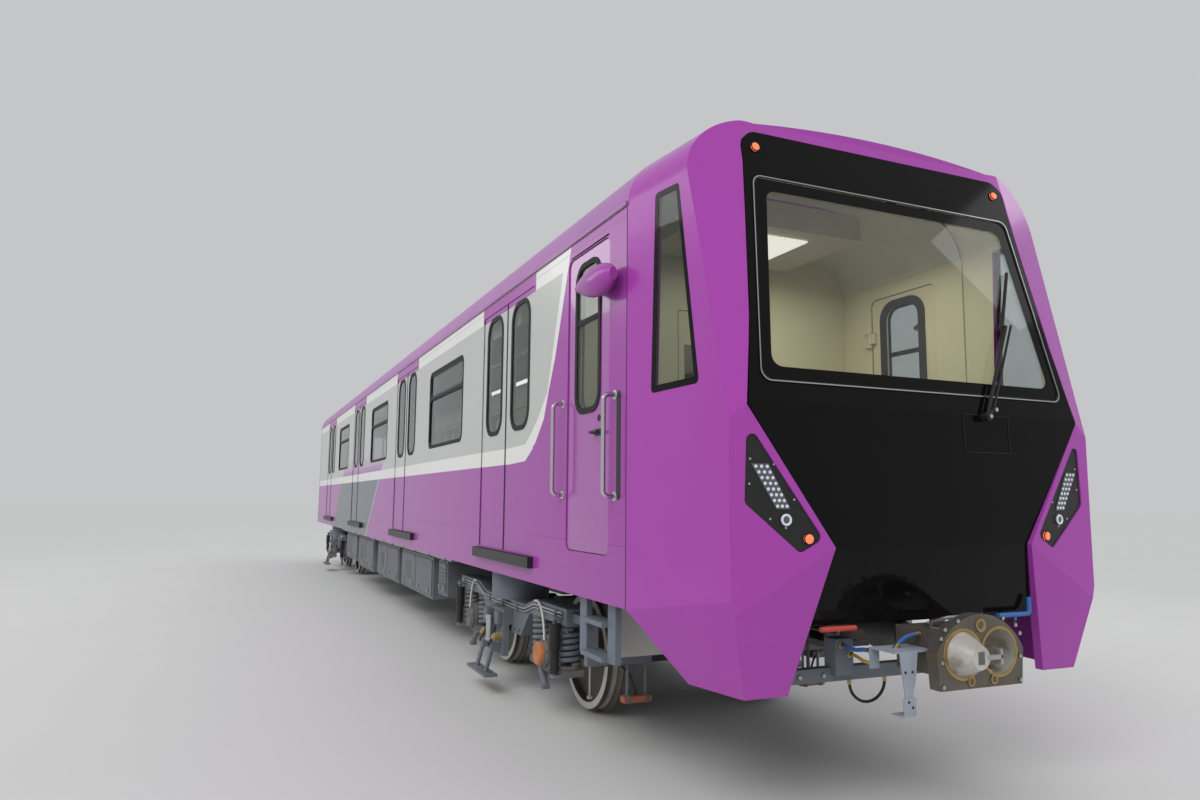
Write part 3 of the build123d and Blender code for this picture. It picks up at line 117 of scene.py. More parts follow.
class Graph:
    """Adds nodes to one tree and joins their sockets."""

    def __init__(self, tree: bpy.types.NodeTree) -> None:
        """Works on the given tree."""
        self.tree = tree

    def feed(self, socket: Socket, value: Feed) -> None:
        """Links a socket to another, or sets its plain value."""
        if isinstance(value, bpy.types.NodeSocket):
            self.tree.links.new(value, socket)
        elif isinstance(value, (tuple, list)) and len(value) == 3 and socket.type == "RGBA":
            socket.default_value = (*value, 1.0)
        else:
            socket.default_value = value

    def add(self, kind: str, inputs: Optional[dict] = None, **settings) -> bpy.types.Node:
        """Makes a node.

        Args:
            kind: The node's type name.
            inputs: Values or sockets by the input's name or number.
            settings: Properties of the node.

        Returns:
            The node.
        """
        node = self.tree.nodes.new(kind)
        for name, value in settings.items():
            setattr(node, name, value)
        for key, value in (inputs or {}).items():
            self.feed(node.inputs[key], value)
        return node

    def math(self, operation: str, a: Feed, b: Feed = 0.0, clamp: bool = False) -> Socket:
        """Result of a two-number sum."""
        return self.add("ShaderNodeMath", {0: a, 1: b}, operation=operation, use_clamp=clamp).outputs[0]

    def product(self, *values: Feed) -> Socket:
        """All the values multiplied together."""
        result = values[0]
        for value in values[1:]:
            result = self.math("MULTIPLY", result, value)
        return result

    def plus(self, a: Feed, b: Feed) -> Socket:
        """The two values together."""
        return self.math("ADD", a, b)

    def minus(self, a: Feed, b: Feed) -> Socket:
        """The first value less the second."""
        return self.math("SUBTRACT", a, b)

    def larger(self, a: Feed, b: Feed) -> Socket:
        """The larger of two values."""
        return self.math("MAXIMUM", a, b)

    def unsigned(self, value: Feed) -> Socket:
        """The value without its sign."""
        return self.math("ABSOLUTE", value)

    def place(self) -> Socket:
        """Place of the shaded point in the car's frame."""
        return self.add("ShaderNodeTexCoord").outputs["Object"]

    def axes(self, value: Feed) -> list[Socket]:
        """X, Y and Z of a vector."""
        return list(self.add("ShaderNodeSeparateXYZ", {0: value}).outputs)

    def vector(self, operation: str, a: Feed, b: Feed = (0.0, 0.0, 0.0)) -> Socket:
        """Result of a two-vector sum, a number for a length or a dot product."""
        node = self.add("ShaderNodeVectorMath", {0: a, 1: b}, operation=operation)
        return node.outputs["Value" if operation in ("LENGTH", "DOT_PRODUCT") else "Vector"]

    def mix(self, factor: Feed, a: Feed, b: Feed) -> Socket:
        """Colour a where the factor is 0 and b where it is 1."""
        node = self.add("ShaderNodeMix", data_type="RGBA")
        for number, value in ((0, factor), (6, a), (7, b)):
            self.feed(node.inputs[number], value)
        return node.outputs[2]

    def spread(self, value: Feed, low: float, high: float, out_low: float = 0.0,
               out_high: float = 1.0) -> Socket:
        """Value mapped from one range to another and held at its ends."""
        inputs = {"Value": value, "From Min": low, "From Max": high, "To Min": out_low, "To Max": out_high}
        return self.add("ShaderNodeMapRange", inputs).outputs[0]

    def near_step(self, value: Feed, at: float, soft: float) -> Socket:
        """Mask that rises from 0 to 1 round a value, or falls where the softness is negative."""
        return self.spread(value, at - soft, at + soft)

    def noise(self, place: Feed, scale: float, detail: float = 3.0,
              stretch: Optional[Point] = None) -> Socket:
        """Soft noise over a place, from 0 to 1."""
        if stretch:
            place = self.add("ShaderNodeMapping", {"Vector": place, "Scale": tuple(stretch)}).outputs[0]
        return self.add("ShaderNodeTexNoise", {"Vector": place, "Scale": scale, "Detail": detail}).outputs[0]

    def bump(self, height: Socket, distance: float, strength: float = 1.0) -> Socket:
        """Normal raised by a height in metres."""
        return self.add("ShaderNodeBump",
                        {"Height": height, "Distance": distance, "Strength": strength}).outputs[0]


def emptied(owner: Union[bpy.types.Material, bpy.types.World]) -> Graph:
    """Node graph of a material or a world, with nothing in it."""
    owner.use_nodes = True
    owner.node_tree.nodes.clear()
    return Graph(owner.node_tree)


class Effect:
    """A shader node group that several finishes share."""

    name = ""
    inputs: tuple = ()
    outputs: tuple = ()

    @classmethod
    def tree(cls) -> bpy.types.NodeTree:
        """The group's tree, made at its first use."""
        found = bpy.data.node_groups.get(cls.name)
        if found:
            return found
        tree = bpy.data.node_groups.new(cls.name, "ShaderNodeTree")
        for name, kind, value in cls.inputs:
            socket = tree.interface.new_socket(name=name, in_out="INPUT", socket_type=kind)
            socket.default_value = value
        for name, kind in cls.outputs:
            tree.interface.new_socket(name=name, in_out="OUTPUT", socket_type=kind)
        graph = Graph(tree)
        entry = graph.add("NodeGroupInput")
        leave = graph.add("NodeGroupOutput")
        for name, socket in cls.wire(graph, entry.outputs).items():
            graph.feed(leave.inputs[name], socket)
        return tree

    @classmethod
    def wire(cls, graph: Graph, given: bpy.types.bpy_prop_collection) -> dict[str, Socket]:
        """Makes the group's nodes and returns its outputs by name."""
        raise NotImplementedError

    @classmethod
    def use(cls, graph: Graph, **values: Feed) -> bpy.types.Node:
        """Places the group in a material with its own values."""
        node = graph.add("ShaderNodeGroup", node_tree=cls.tree())
        for name, value in values.items():
            graph.feed(node.inputs[name.replace("_", " ").capitalize()], value)
        return node


class Grime(Effect):
    """Dust that thickens downwards and on faces that look up, broken by noise."""

    name = "grime"
    inputs = (
        ("Color", "NodeSocketColor", (0.5, 0.5, 0.5, 1.0)),
        ("Dust", "NodeSocketColor", (*DUST, 1.0)),
        ("Amount", "NodeSocketFloat", 0.3),
        ("Low", "NodeSocketFloat", 0.4),
        ("High", "NodeSocketFloat", 1.6),
    )
    outputs = (("Color", "NodeSocketColor"), ("Mask", "NodeSocketFloat"))

    @classmethod
    def wire(cls, graph: Graph, given: bpy.types.bpy_prop_collection) -> dict[str, Socket]:
        """Height, facing and noise make one mask."""
        place = graph.add("ShaderNodeTexCoord")
        height = graph.axes(place.outputs["Object"])[2]
        low = graph.add("ShaderNodeMapRange",
                        {"Value": height, "From Min": given["Low"], "From Max": given["High"],
                         "To Min": 1.0, "To Max": 0.06}).outputs[0]
        facing = graph.axes(place.outputs["Normal"])[2]
        up = graph.spread(facing, 0.4, 1.0, 0.0, 0.5)
        cloud = graph.noise(place.outputs["Object"], 4.0, 6.0)
        speck = graph.noise(place.outputs["Object"], 55.0, 3.0)
        patch = graph.plus(graph.spread(cloud, 0.35, 0.7, 0.25, 1.0),
                           graph.spread(speck, 0.5, 0.75, 0.0, 0.3))
        mask = graph.product(graph.plus(low, up), patch)
        mask = graph.math("MULTIPLY", mask, given["Amount"], clamp=True)
        return {"Color": graph.mix(mask, given["Color"], given["Dust"]), "Mask": mask}


class EdgeWear(Effect):
    """Mask that is strong along worn edges and broken by noise."""

    name = "edge_wear"
    inputs = (("Radius", "NodeSocketFloat", 0.004), ("Amount", "NodeSocketFloat", 0.5))
    outputs = (("Mask", "NodeSocketFloat"),)

    @classmethod
    def wire(cls, graph: Graph, given: bpy.types.bpy_prop_collection) -> dict[str, Socket]:
        """The bent normal near an edge differs from the flat one."""
        bent = graph.add("ShaderNodeBevel", {"Radius": given["Radius"]}, samples=4).outputs[0]
        flat = graph.add("ShaderNodeNewGeometry").outputs["Normal"]
        same = graph.vector("DOT_PRODUCT", bent, flat)
        edge = graph.spread(same, 0.995, 0.86)
        place = graph.place()
        rough = graph.spread(graph.noise(place, 38.0, 5.0), 0.42, 0.62)
        return {"Mask": graph.math("MULTIPLY", graph.product(edge, rough), given["Amount"], clamp=True)}


class Mottle(Effect):
    """Uneven tone: a colour made a little lighter and darker in clouds, with a fine grain for bump."""

    name = "mottle"
    inputs = (
        ("Color", "NodeSocketColor", (0.5, 0.5, 0.5, 1.0)),
        ("Amount", "NodeSocketFloat", 0.1),
        ("Scale", "NodeSocketFloat", 3.0),
        ("Grain", "NodeSocketFloat", 120.0),
    )
    outputs = (("Color", "NodeSocketColor"), ("Height", "NodeSocketFloat"))

    @classmethod
    def wire(cls, graph: Graph, given: bpy.types.bpy_prop_collection) -> dict[str, Socket]:
        """Brightness follows one noise and the height another."""
        place = graph.place()
        cloud = graph.add("ShaderNodeTexNoise",
                          {"Vector": place, "Scale": given["Scale"], "Detail": 4.0}).outputs[0]
        shift = graph.product(graph.minus(cloud, 0.5), given["Amount"])
        value = graph.plus(graph.product(shift, 2.0), 1.0)
        tone = graph.add("ShaderNodeHueSaturation", {"Value": value, "Color": given["Color"]}).outputs[0]
        fine = graph.add("ShaderNodeTexNoise",
                         {"Vector": place, "Scale": given["Grain"], "Detail": 2.0}).outputs[0]
        return {"Color": tone, "Height": fine}


class Weave(Effect):
    """Crossed threads: a height for bump and a mask of the gaps, where shade is painted."""

    name = "weave"
    inputs = (("Threads", "NodeSocketFloat", 900.0),)
    outputs = (("Height", "NodeSocketFloat"), ("Gap shade", "NodeSocketFloat"))

    @classmethod
    def wire(cls, graph: Graph, given: bpy.types.bpy_prop_collection) -> dict[str, Socket]:
        """Two wave patterns, along and across, take turns on top."""
        place = graph.place()
        x, y, z = graph.axes(place)
        warp = graph.math("SINE", graph.product(x, given["Threads"]))
        weft = graph.math("SINE", graph.product(graph.plus(y, z), given["Threads"]))
        height = graph.product(graph.plus(graph.product(warp, weft), 1.0), 0.5)
        return {"Height": height, "Gap shade": graph.spread(height, 0.35, 0.05)}


@dataclass(frozen=True)
class Finish:
    """A finish whose colour is one tone with mottling, dust and worn edges."""

    name: str
    color: Color
    roughness: float = 0.5
    metallic: float = 0.0
    coat: float = 0.0
    specular: float = 0.5
    mottle: float = 0.12
    mottle_scale: float = 3.0
    grain: float = 0.0002
    grain_scale: float = 180.0
    dust: float = 0.2
    dust_low: float = 0.3
    dust_high: float = 1.5
    wear: float = 0.0
    wear_color: Color = (0.30, 0.29, 0.28)

    @property
    def label(self) -> str:
        """Name of the material, unlike any slot name of the CAD."""
        return f"{self.name}_finish"

    def base(self, graph: Graph) -> Feed:
        """Colour before mottling and dust."""
        return self.color

    def build(self) -> bpy.types.Material:
        """Makes the material, or returns it if it is there."""
        found = bpy.data.materials.get(self.label)
        if found:
            return found
        material = bpy.data.materials.new(self.label)
        graph = emptied(material)
        graph.add("ShaderNodeOutputMaterial", {"Surface": self.shader(graph).outputs[0]})
        return material

    def shader(self, graph: Graph) -> bpy.types.Node:
        """Makes the shader and all that feeds it."""
        tone = Mottle.use(graph, color=self.base(graph), amount=self.mottle, scale=self.mottle_scale,
                          grain=self.grain_scale)
        color = tone.outputs["Color"]
        rough: Feed = self.roughness
        metal: Feed = self.metallic
        if self.wear:
            worn = EdgeWear.use(graph, amount=self.wear).outputs["Mask"]
            color = graph.mix(worn, color, self.wear_color)
            metal = graph.larger(metal, graph.product(worn, 0.8))
        if self.dust:
            dusty = Grime.use(graph, color=color, amount=self.dust, low=self.dust_low, high=self.dust_high)
            color = dusty.outputs["Color"]
            rough = graph.spread(dusty.outputs["Mask"], 0.0, 1.0, self.roughness, 0.85)
            if self.metallic:
                metal = graph.spread(dusty.outputs["Mask"], 0.0, 1.0, self.metallic, 0.1)
        shader = graph.add("ShaderNodeBsdfPrincipled", {
            "Base Color": color, "Roughness": rough, "Metallic": metal,
            "Normal": graph.bump(tone.outputs["Height"], self.grain)})
        shader.inputs["Specular IOR Level"].default_value = self.specular
        shader.inputs["Coat Weight"].default_value = self.coat
        shader.inputs["Coat Roughness"].default_value = 0.04
        self.extra(graph, shader)
        return shader

    def extra(self, graph: Graph, shader: bpy.types.Node) -> None:
        """Further settings of the shader."""


@dataclass(frozen=True)
class Shell(Finish):
    """Paint outside and lining inside a hollow shell, told apart by which way a face looks."""

    inner_color: Color = CREAM
    heart: Point = (8.2, 0.0, 2.3)

    def outward(self, graph: Graph) -> Socket:
        """Mask of the faces that look away from the shell's heart."""
        place = graph.add("ShaderNodeTexCoord")
        away = graph.vector("SUBTRACT", place.outputs["Object"], tuple(self.heart))
        out = graph.vector("DOT_PRODUCT", graph.vector("NORMALIZE", away), place.outputs["Normal"])
        return graph.spread(out, -0.02, 0.02)

    def base(self, graph: Graph) -> Feed:
        """Outside colour where the face looks away from the shell's heart."""
        return graph.mix(self.outward(graph), self.inner_color, self.color)


@dataclass(frozen=True)
class MaskShell(Shell):
    """The mask's paint, which also covers its cheeks all round, with the lining kept to the cab's inside."""

    skin: float = 0.010
    floor_z: float = 2.030

    def base(self, graph: Graph) -> Feed:
        """Lining behind the skin of the sides and of the leaning face."""
        x, y, z = graph.axes(graph.place())
        along = graph.minus(x, SEAM)
        reach = graph.minus(HALF_WIDTH - self.skin, graph.product(along, MASK_SIDE_TAPER))
        within = graph.minus(reach, graph.unsigned(y))
        face = graph.minus(FACE_FOOT[0] - self.skin + FACE_SLOPE * FACE_FOOT[1], graph.product(z, FACE_SLOPE))
        behind = graph.minus(face, along)
        zone = graph.product(graph.spread(within, -0.001, 0.001), graph.spread(behind, -0.001, 0.001),
                             graph.spread(z, self.floor_z - 0.002, self.floor_z + 0.002))
        inward = graph.minus(1.0, self.outward(graph))
        return graph.mix(graph.product(zone, inward), self.color, self.inner_color)


@dataclass(frozen=True)
class RoofUnit(Finish):
    """Air conditioner: painted lid on a grey case that shows only under the roof."""

    case_color: Color = (0.60, 0.58, 0.53)
    lid_z: float = 3.660

    def base(self, graph: Graph) -> Feed:
        """Paint above the roof's arch."""
        z = graph.axes(graph.place())[2]
        return graph.mix(graph.spread(z, self.lid_z - 0.005, self.lid_z + 0.005), self.case_color, self.color)


@dataclass(frozen=True)
class Livery(Finish):
    """Side paint: violet, a white band that sweeps up to the eaves, a grey field and slanted blocks."""

    band_outer: tuple = ((-2.2, 1.890), (-1.841, 1.902), (-1.586, 2.028), (-1.408, 2.191), (-1.313, 2.387),
                         (-1.193, 2.605), (-1.053, 2.952), (-0.885, 3.380))
    band_inner: tuple = ((-2.2, 2.022), (-1.849, 2.032), (-1.562, 2.183), (-1.342, 2.380), (-1.049, 3.204),
                         (-0.99, 3.380))
    strip_z: float = 3.200
    gutter_z: float = 3.338
    slant_foot: Point = (-9.891, 1.019)
    slant_run: float = 1.276
    slant_line: float = 0.055
    grey_length: float = 4.70
    fade_z: Point = (2.05, 2.34)
    door_half: float = 0.730
    joints_z: Point = (1.345, 3.290)

    def edge_height(self, graph: Graph, x: Socket, points: tuple) -> Socket:
        """Height of an edge at each x, straight between the given points and level beyond them."""
        x_low, x_high, z_low, z_high = points[0][0], points[-1][0], 1.8, 3.4
        across = graph.spread(x, ahead(x_low), ahead(x_high))
        curve = graph.add("ShaderNodeFloatCurve", {"Value": across})
        line = curve.mapping.curves[0]
        places = [((px - x_low) / (x_high - x_low), (pz - z_low) / (z_high - z_low)) for px, pz in points]
        line.points[0].location = places[0]
        line.points[1].location = places[-1]
        for spot in places[1:-1]:
            line.points.new(*spot)
        for spot in line.points:
            spot.handle_type = "VECTOR"
        curve.mapping.update()
        return graph.spread(curve.outputs[0], 0.0, 1.0, z_low, z_high)

    def above(self, graph: Graph, a: Feed, b: Feed, soft: float = 0.004) -> Socket:
        """Mask where a is greater than b."""
        return graph.spread(graph.minus(a, b), -soft, soft)

    def base(self, graph: Graph) -> Feed:
        """The whole pattern, with the lining inside the car."""
        x, y, z = graph.axes(graph.place())
        over_band = self.above(graph, z, self.edge_height(graph, x, self.band_outer))
        in_field = self.above(graph, z, self.edge_height(graph, x, self.band_inner))
        slant_x = graph.plus(graph.product(graph.minus(z, self.slant_foot[1]), self.slant_run),
                             ahead(self.slant_foot[0]))
        behind = self.above(graph, slant_x, x)
        ended = self.above(graph, graph.minus(slant_x, self.grey_length), x)
        grey_block = graph.math("SUBTRACT", behind, ended, clamp=True)
        lower = graph.mix(grey_block, VIOLET, SLATE)
        line = graph.product(behind, self.above(graph, x, graph.minus(slant_x, self.slant_line)))
        lower = graph.mix(line, lower, FIELD_GREY)
        fade = graph.spread(z, *self.fade_z, 1.0, 0.0)
        streak = graph.spread(graph.noise(graph.place(), 5.0, 2.0, (0.8, 0.0, 14.0)), 0.38, 0.55)
        fade = graph.product(fade, graph.larger(streak, graph.spread(z, 2.16, 2.10)))
        upper = graph.mix(graph.product(fade, grey_block), FIELD_GREY, LILAC)
        color = graph.mix(over_band, lower, BAND_WHITE)
        color = graph.mix(in_field, color, upper)
        at_door: Feed = 0.0
        for door_x in DOORS_X:
            near = graph.unsigned(graph.minus(x, door_x))
            at_door = graph.larger(at_door,
                                   graph.spread(near, self.door_half + 0.005, self.door_half - 0.005))
        top = self.above(graph, z, self.strip_z)
        color = graph.mix(graph.product(top, over_band), color, BAND_WHITE)
        color = graph.mix(graph.product(top, at_door), color, VIOLET)
        color = graph.mix(self.above(graph, z, self.gutter_z), color, VIOLET_DEEP)
        joint: Feed = 0.0
        for line_z in self.joints_z:
            gap = graph.unsigned(graph.minus(z, line_z))
            joint = graph.larger(joint, graph.spread(gap, 0.004, 0.002))
        color = graph.mix(graph.product(joint, graph.minus(1.0, at_door), 0.35), color, BLACK)
        inside = graph.spread(graph.unsigned(y), INNER_Y + 0.012, INNER_Y + 0.008)
        return graph.mix(inside, color, CREAM)


@dataclass(frozen=True)
class WheelSteel(Finish):
    """Wheel steel: a bright worn band on a tread painted dark brown as shade, white rim face, dark plate and
    axle.
    """

    axle: Point = (6.86, 0.0, 0.458)
    axle_radius: float = 0.125
    rim_radii: Point = (0.374, 0.4245)
    tread_radius: float = 0.4275
    face_y: float = 0.845
    worn_y: Point = (0.771, 0.809)

    def base(self, graph: Graph) -> Feed:
        """Zones by distance from the axle."""
        place = graph.place()
        flat = graph.vector("MULTIPLY", graph.vector("SUBTRACT", place, tuple(self.axle)), (1.0, 0.0, 1.0))
        reach = graph.vector("LENGTH", flat)
        y = graph.unsigned(graph.axes(place)[1])
        rim = graph.product(graph.near_step(reach, self.rim_radii[0], 0.002),
                            graph.near_step(reach, self.rim_radii[1], -0.0015),
                            graph.near_step(y, self.face_y, 0.002))
        tread = graph.near_step(reach, self.tread_radius, 0.001)
        worn = graph.product(tread, graph.near_step(y, self.worn_y[0], 0.003),
                             graph.near_step(y, self.worn_y[1], -0.003))
        axle = graph.near_step(reach, self.axle_radius, -0.005)
        color = graph.mix(axle, (0.060, 0.042, 0.032), (0.085, 0.068, 0.052))
        color = graph.mix(rim, color, (0.66, 0.64, 0.58))
        # The tread's dark brown is painted shade, standing in for the shadow on the tread.
        color = graph.mix(tread, color, (0.105, 0.078, 0.058))
        return graph.mix(worn, color, (0.44, 0.42, 0.40))


@dataclass(frozen=True)
class Stepwork(Finish):
    """Blue-grey steps with the pale plate that stands between and behind them."""

    plate_color: Color = (0.520, 0.515, 0.480)
    plate_x: float = -0.510
    plate_half: float = 0.006
    plate_edge_y: float = 1.2115

    def base(self, graph: Graph) -> Feed:
        """Pale where the plate stands."""
        x, y, _ = graph.axes(graph.place())
        near = graph.unsigned(graph.minus(x, ahead(self.plate_x)))
        plate = graph.product(graph.near_step(near, self.plate_half, -0.0005),
                              graph.near_step(graph.unsigned(y), self.plate_edge_y, -0.0005))
        return graph.mix(plate, self.color, self.plate_color)


@dataclass(frozen=True)
class CockPaint(Finish):
    """Handle paint on the grips, one colour on each side, and dark steel on their stems."""

    left_color: Color = (0.020, 0.130, 0.420)
    stem_color: Color = (0.030, 0.032, 0.036)
    grip_x: float = 0.901
    grip_z: float = 0.971

    def base(self, graph: Graph) -> Feed:
        """Side by Y, grip by how far forward and how high it is."""
        x, y, z = graph.axes(graph.place())
        grip = graph.product(graph.near_step(x, ahead(self.grip_x), 0.001),
                             graph.near_step(z, self.grip_z, 0.001))
        paint = graph.mix(graph.near_step(y, 0.0, 0.01), self.color, self.left_color)
        return graph.mix(grip, self.stem_color, paint)


@dataclass(frozen=True)
class CastMetal(Finish):
    """Coupler casting: grey skin with brown oil stains, and the cone and cup rubbed bright."""

    stain: Color = (0.150, 0.095, 0.045)
    bright: Color = (0.560, 0.540, 0.500)
    face: float = 9.860
    cup: Point = (0.120, 0.880)
    cup_radius: float = 0.110
    cup_depth: float = 0.195

    def base(self, graph: Graph) -> Feed:
        """Bright ahead of the face and inside the cup, stained in clouds."""
        place = graph.place()
        x, y, z = graph.axes(place)
        along = graph.unsigned(x)
        across = graph.minus(graph.unsigned(y), self.cup[0])
        up = graph.minus(z, self.cup[1])
        reach = graph.math("SQRT", graph.plus(graph.product(across, across), graph.product(up, up)))
        cone = graph.near_step(along, self.face + 0.004, 0.002)
        cup = graph.product(graph.near_step(reach, self.cup_radius, -0.002),
                            graph.near_step(along, self.face - self.cup_depth, 0.005))
        color = graph.mix(graph.larger(cone, cup), self.color, self.bright)
        cloud = graph.spread(graph.noise(place, 11.0, 5.0), 0.50, 0.66)
        low = graph.spread(up, 0.10, -0.12, 0.35, 1.0)
        return graph.mix(graph.product(cloud, low, 0.8), color, self.stain)


@dataclass(frozen=True)
class Floor(Finish):
    """Dark steel below and speckled vinyl on the floor's top face."""

    def base(self, graph: Graph) -> Feed:
        """Vinyl where the floor looks up at the saloon."""
        place = graph.place()
        z = graph.axes(place)[2]
        chips = graph.add("ShaderNodeTexVoronoi", {"Vector": place, "Scale": 130.0}).outputs["Color"]
        fleck = graph.spread(graph.axes(chips)[0], 0.72, 0.78)
        vinyl = graph.mix(fleck, (0.16, 0.17, 0.185), (0.36, 0.36, 0.34))
        return graph.mix(graph.spread(z, FLOOR_Z - 0.004, FLOOR_Z - 0.002), self.color, vinyl)


@dataclass(frozen=True)
class Fabric(Finish):
    """Woven seat cover with a small two-tone fleck."""

    second: Color = (0.20, 0.24, 0.36)
    threads: float = 900.0

    def base(self, graph: Graph) -> Feed:
        """The gaps between threads are darkened as painted shade and some cells take the second colour."""
        place = graph.place()
        cells = graph.add("ShaderNodeTexVoronoi", {"Vector": place, "Scale": 48.0}).outputs["Color"]
        fleck = graph.spread(graph.axes(cells)[0], 0.66, 0.70)
        color = graph.mix(fleck, self.color, self.second)
        gap = Weave.use(graph, threads=self.threads).outputs["Gap shade"]
        # Painted shade: the colour darkens in the gaps between threads.
        return graph.mix(graph.product(gap, 0.55), color, tuple(0.35 * c for c in self.color))

    def extra(self, graph: Graph, shader: bpy.types.Node) -> None:
        """Thread bump and cloth sheen."""
        weave = Weave.use(graph, threads=self.threads)
        graph.feed(shader.inputs["Normal"], graph.bump(weave.outputs["Height"], 0.0006, 0.7))
        shader.inputs["Sheen Weight"].default_value = 0.35


@dataclass(frozen=True)
class Glow(Finish):
    """A lamp's lens that shines by itself."""

    strength: float = 1.0
    light: Color = (1.0, 1.0, 1.0)

    def extra(self, graph: Graph, shader: bpy.types.Node) -> None:
        """Adds the light."""
        shader.inputs["Emission Color"].default_value = (*self.light, 1.0)
        shader.inputs["Emission Strength"].default_value = self.strength


@dataclass(frozen=True)
class Glass(Finish):
    """Clear or tinted pane."""

    tint: Color = (0.8, 0.86, 0.86)

    def shader(self, graph: Graph) -> bpy.types.Node:
        """Makes the pane's shader, with faint clouds of dust in its tint."""
        film = graph.noise(graph.place(), 3.0, 6.0)
        tint = graph.mix(graph.spread(film, 0.3, 0.8, 0.0, 0.25), self.tint,
                         tuple(0.85 * c for c in self.tint))
        shader = graph.add("ShaderNodeBsdfPrincipled", {"Base Color": tint})
        shader.inputs["Roughness"].default_value = 0.0
        shader.inputs["Transmission Weight"].default_value = 1.0
        shader.inputs["IOR"].default_value = 1.30
        return shader


GLOSS_VIOLET = Finish("violet_gloss", VIOLET, 0.22, coat=0.10, specular=0.30, mottle=0.05, mottle_scale=1.2,
                      grain=0.00012, grain_scale=14.0, dust=0.05, dust_low=0.5, dust_high=1.4)
# The mask's violet is a lighter copy of the body's violet: painted light for the brightly lit front.
LIT_MASK_PAINT = MaskShell("mask_paint", (0.370, 0.052, 0.385), 0.20, coat=0.10, specular=0.30, mottle=0.05,
                       mottle_scale=1.0, grain=0.00012, grain_scale=12.0, dust=0.06, dust_low=0.5,
                       dust_high=1.3)
LIVERY = Livery("side_livery", VIOLET, 0.22, coat=0.10, specular=0.30, mottle=0.04, mottle_scale=0.9,
                grain=0.00014, grain_scale=9.0, dust=0.05, dust_low=0.9, dust_high=1.5)
DOOR_PAINT = Shell("cab_door_paint", VIOLET, 0.22, coat=0.7, mottle=0.05, dust=0.12, dust_low=1.0,
                   dust_high=1.9, heart=(8.0, 0.0, 2.2))
ROOF_PAINT = Shell("roof_paint", LILAC, 0.36, coat=0.1, specular=0.4, mottle=0.10, mottle_scale=1.6,
                   dust=0.22, dust_low=2.9, dust_high=4.2, inner_color=(0.72, 0.70, 0.65),
                   heart=(0.0, 0.0, 2.4))
ROOF_UNIT = RoofUnit("roof_unit", LILAC, 0.38, coat=0.1, specular=0.4, mottle=0.10, mottle_scale=1.6,
                     dust=0.22, dust_low=2.9, dust_high=4.2)
END_PAINT = Shell("end_paint", SLATE, 0.40, mottle=0.12, dust=0.30, inner_color=CREAM, heart=(-8.0, 0.0, 2.4))
BLACK_GLOSS = Finish("black_gloss", (0.0040, 0.0036, 0.0038), 0.08, specular=0.12, mottle=0.2, grain=0.00003,
                     grain_scale=6.0, dust=0.012, dust_low=0.9, dust_high=1.5)
BLACK_SATIN = Finish("black_satin", (0.014, 0.014, 0.015), 0.40, specular=0.35, dust=0.06)
BLACK_RUBBER = Finish("black_rubber", (0.012, 0.012, 0.013), 0.60, specular=0.30, mottle=0.25, grain=0.0003,
                      dust=0.08)
BELLOWS = Finish("bellows_rubber", (0.040, 0.041, 0.044), 0.70, mottle=0.3, grain=0.0006, grain_scale=90.0,
                 dust=0.35, dust_high=3.4)
SILVER = Finish("silver_trim", (0.56, 0.57, 0.58), 0.28, metallic=1.0, mottle=0.06, dust=0.04)
POLISHED = Finish("polished_rail", (0.60, 0.60, 0.60), 0.24, metallic=1.0, mottle=0.08, dust=0.05)
BLUE_STEEL = Finish("blue_grey_steel", BLUE_GREY, 0.46, mottle=0.16, dust=0.32, wear=0.5)
DARK_STEEL = Finish("dark_steel", IRON, 0.50, mottle=0.25, dust=0.40, wear=0.6)
CAST_IRON = Finish("cast_iron", (0.048, 0.050, 0.053), 0.62, mottle=0.4, mottle_scale=9.0, grain=0.0009,
                   grain_scale=60.0, dust=0.45, wear=0.5)
UNDER_STEEL = Floor("under_steel", (0.050, 0.052, 0.056), 0.60, mottle=0.2, dust=0.25)
# Case paint: the cases' own dark paint, made darker still as painted shade for the shadow under the car.
SHADED_CASE_PAINT = Finish("case_paint", (0.088, 0.102, 0.130), 0.44, mottle=0.14, dust=0.38, wear=0.4)
COUPLER_METAL = CastMetal("coupler_metal", (0.122, 0.112, 0.094), 0.42, metallic=0.55, mottle=0.35,
                          mottle_scale=9.0, grain=0.0007, grain_scale=70.0, dust=0.15, wear=0.6,
                          wear_color=(0.50, 0.48, 0.44))
STEPWORK = Stepwork("step_paint", (0.125, 0.155, 0.195), 0.44, mottle=0.14, dust=0.20, wear=0.5)
COCK_PAINT = CockPaint("cock_paint", (0.480, 0.045, 0.028), 0.36, mottle=0.10, dust=0.06)
BRACKET_PAINT = Finish("bracket_paint", (0.300, 0.335, 0.400), 0.46, mottle=0.20, mottle_scale=12.0,
                       dust=0.15, wear=0.5)
COIL_ORANGE = Finish("coil_orange", (0.420, 0.085, 0.020), 0.50, mottle=0.3, mottle_scale=12.0, dust=0.25)
CABLE_WHITE = Finish("cable_white", (0.620, 0.610, 0.560), 0.50, mottle=0.15, dust=0.18)
BRASS = Finish("brass_ring", (0.42, 0.30, 0.12), 0.34, metallic=1.0, mottle=0.3, mottle_scale=20.0, dust=0.15)
BRIGHT_STEEL = Finish("bright_steel", (0.46, 0.46, 0.46), 0.32, metallic=1.0, mottle=0.15, dust=0.12)
LINING = Finish("cab_lining", CREAM, 0.55, mottle=0.05, grain=0.0002, dust=0.0)
DESK = Finish("desk_plastic", (0.085, 0.110, 0.130), 0.55, mottle=0.10, grain=0.0003, grain_scale=400.0,
              dust=0.04)
BENCH = Finish("bench_shell", (0.34, 0.36, 0.39), 0.36, mottle=0.06, dust=0.05)
SEAT_CLOTH = Fabric("seat_cloth", (0.035, 0.045, 0.110), 0.86, dust=0.0)
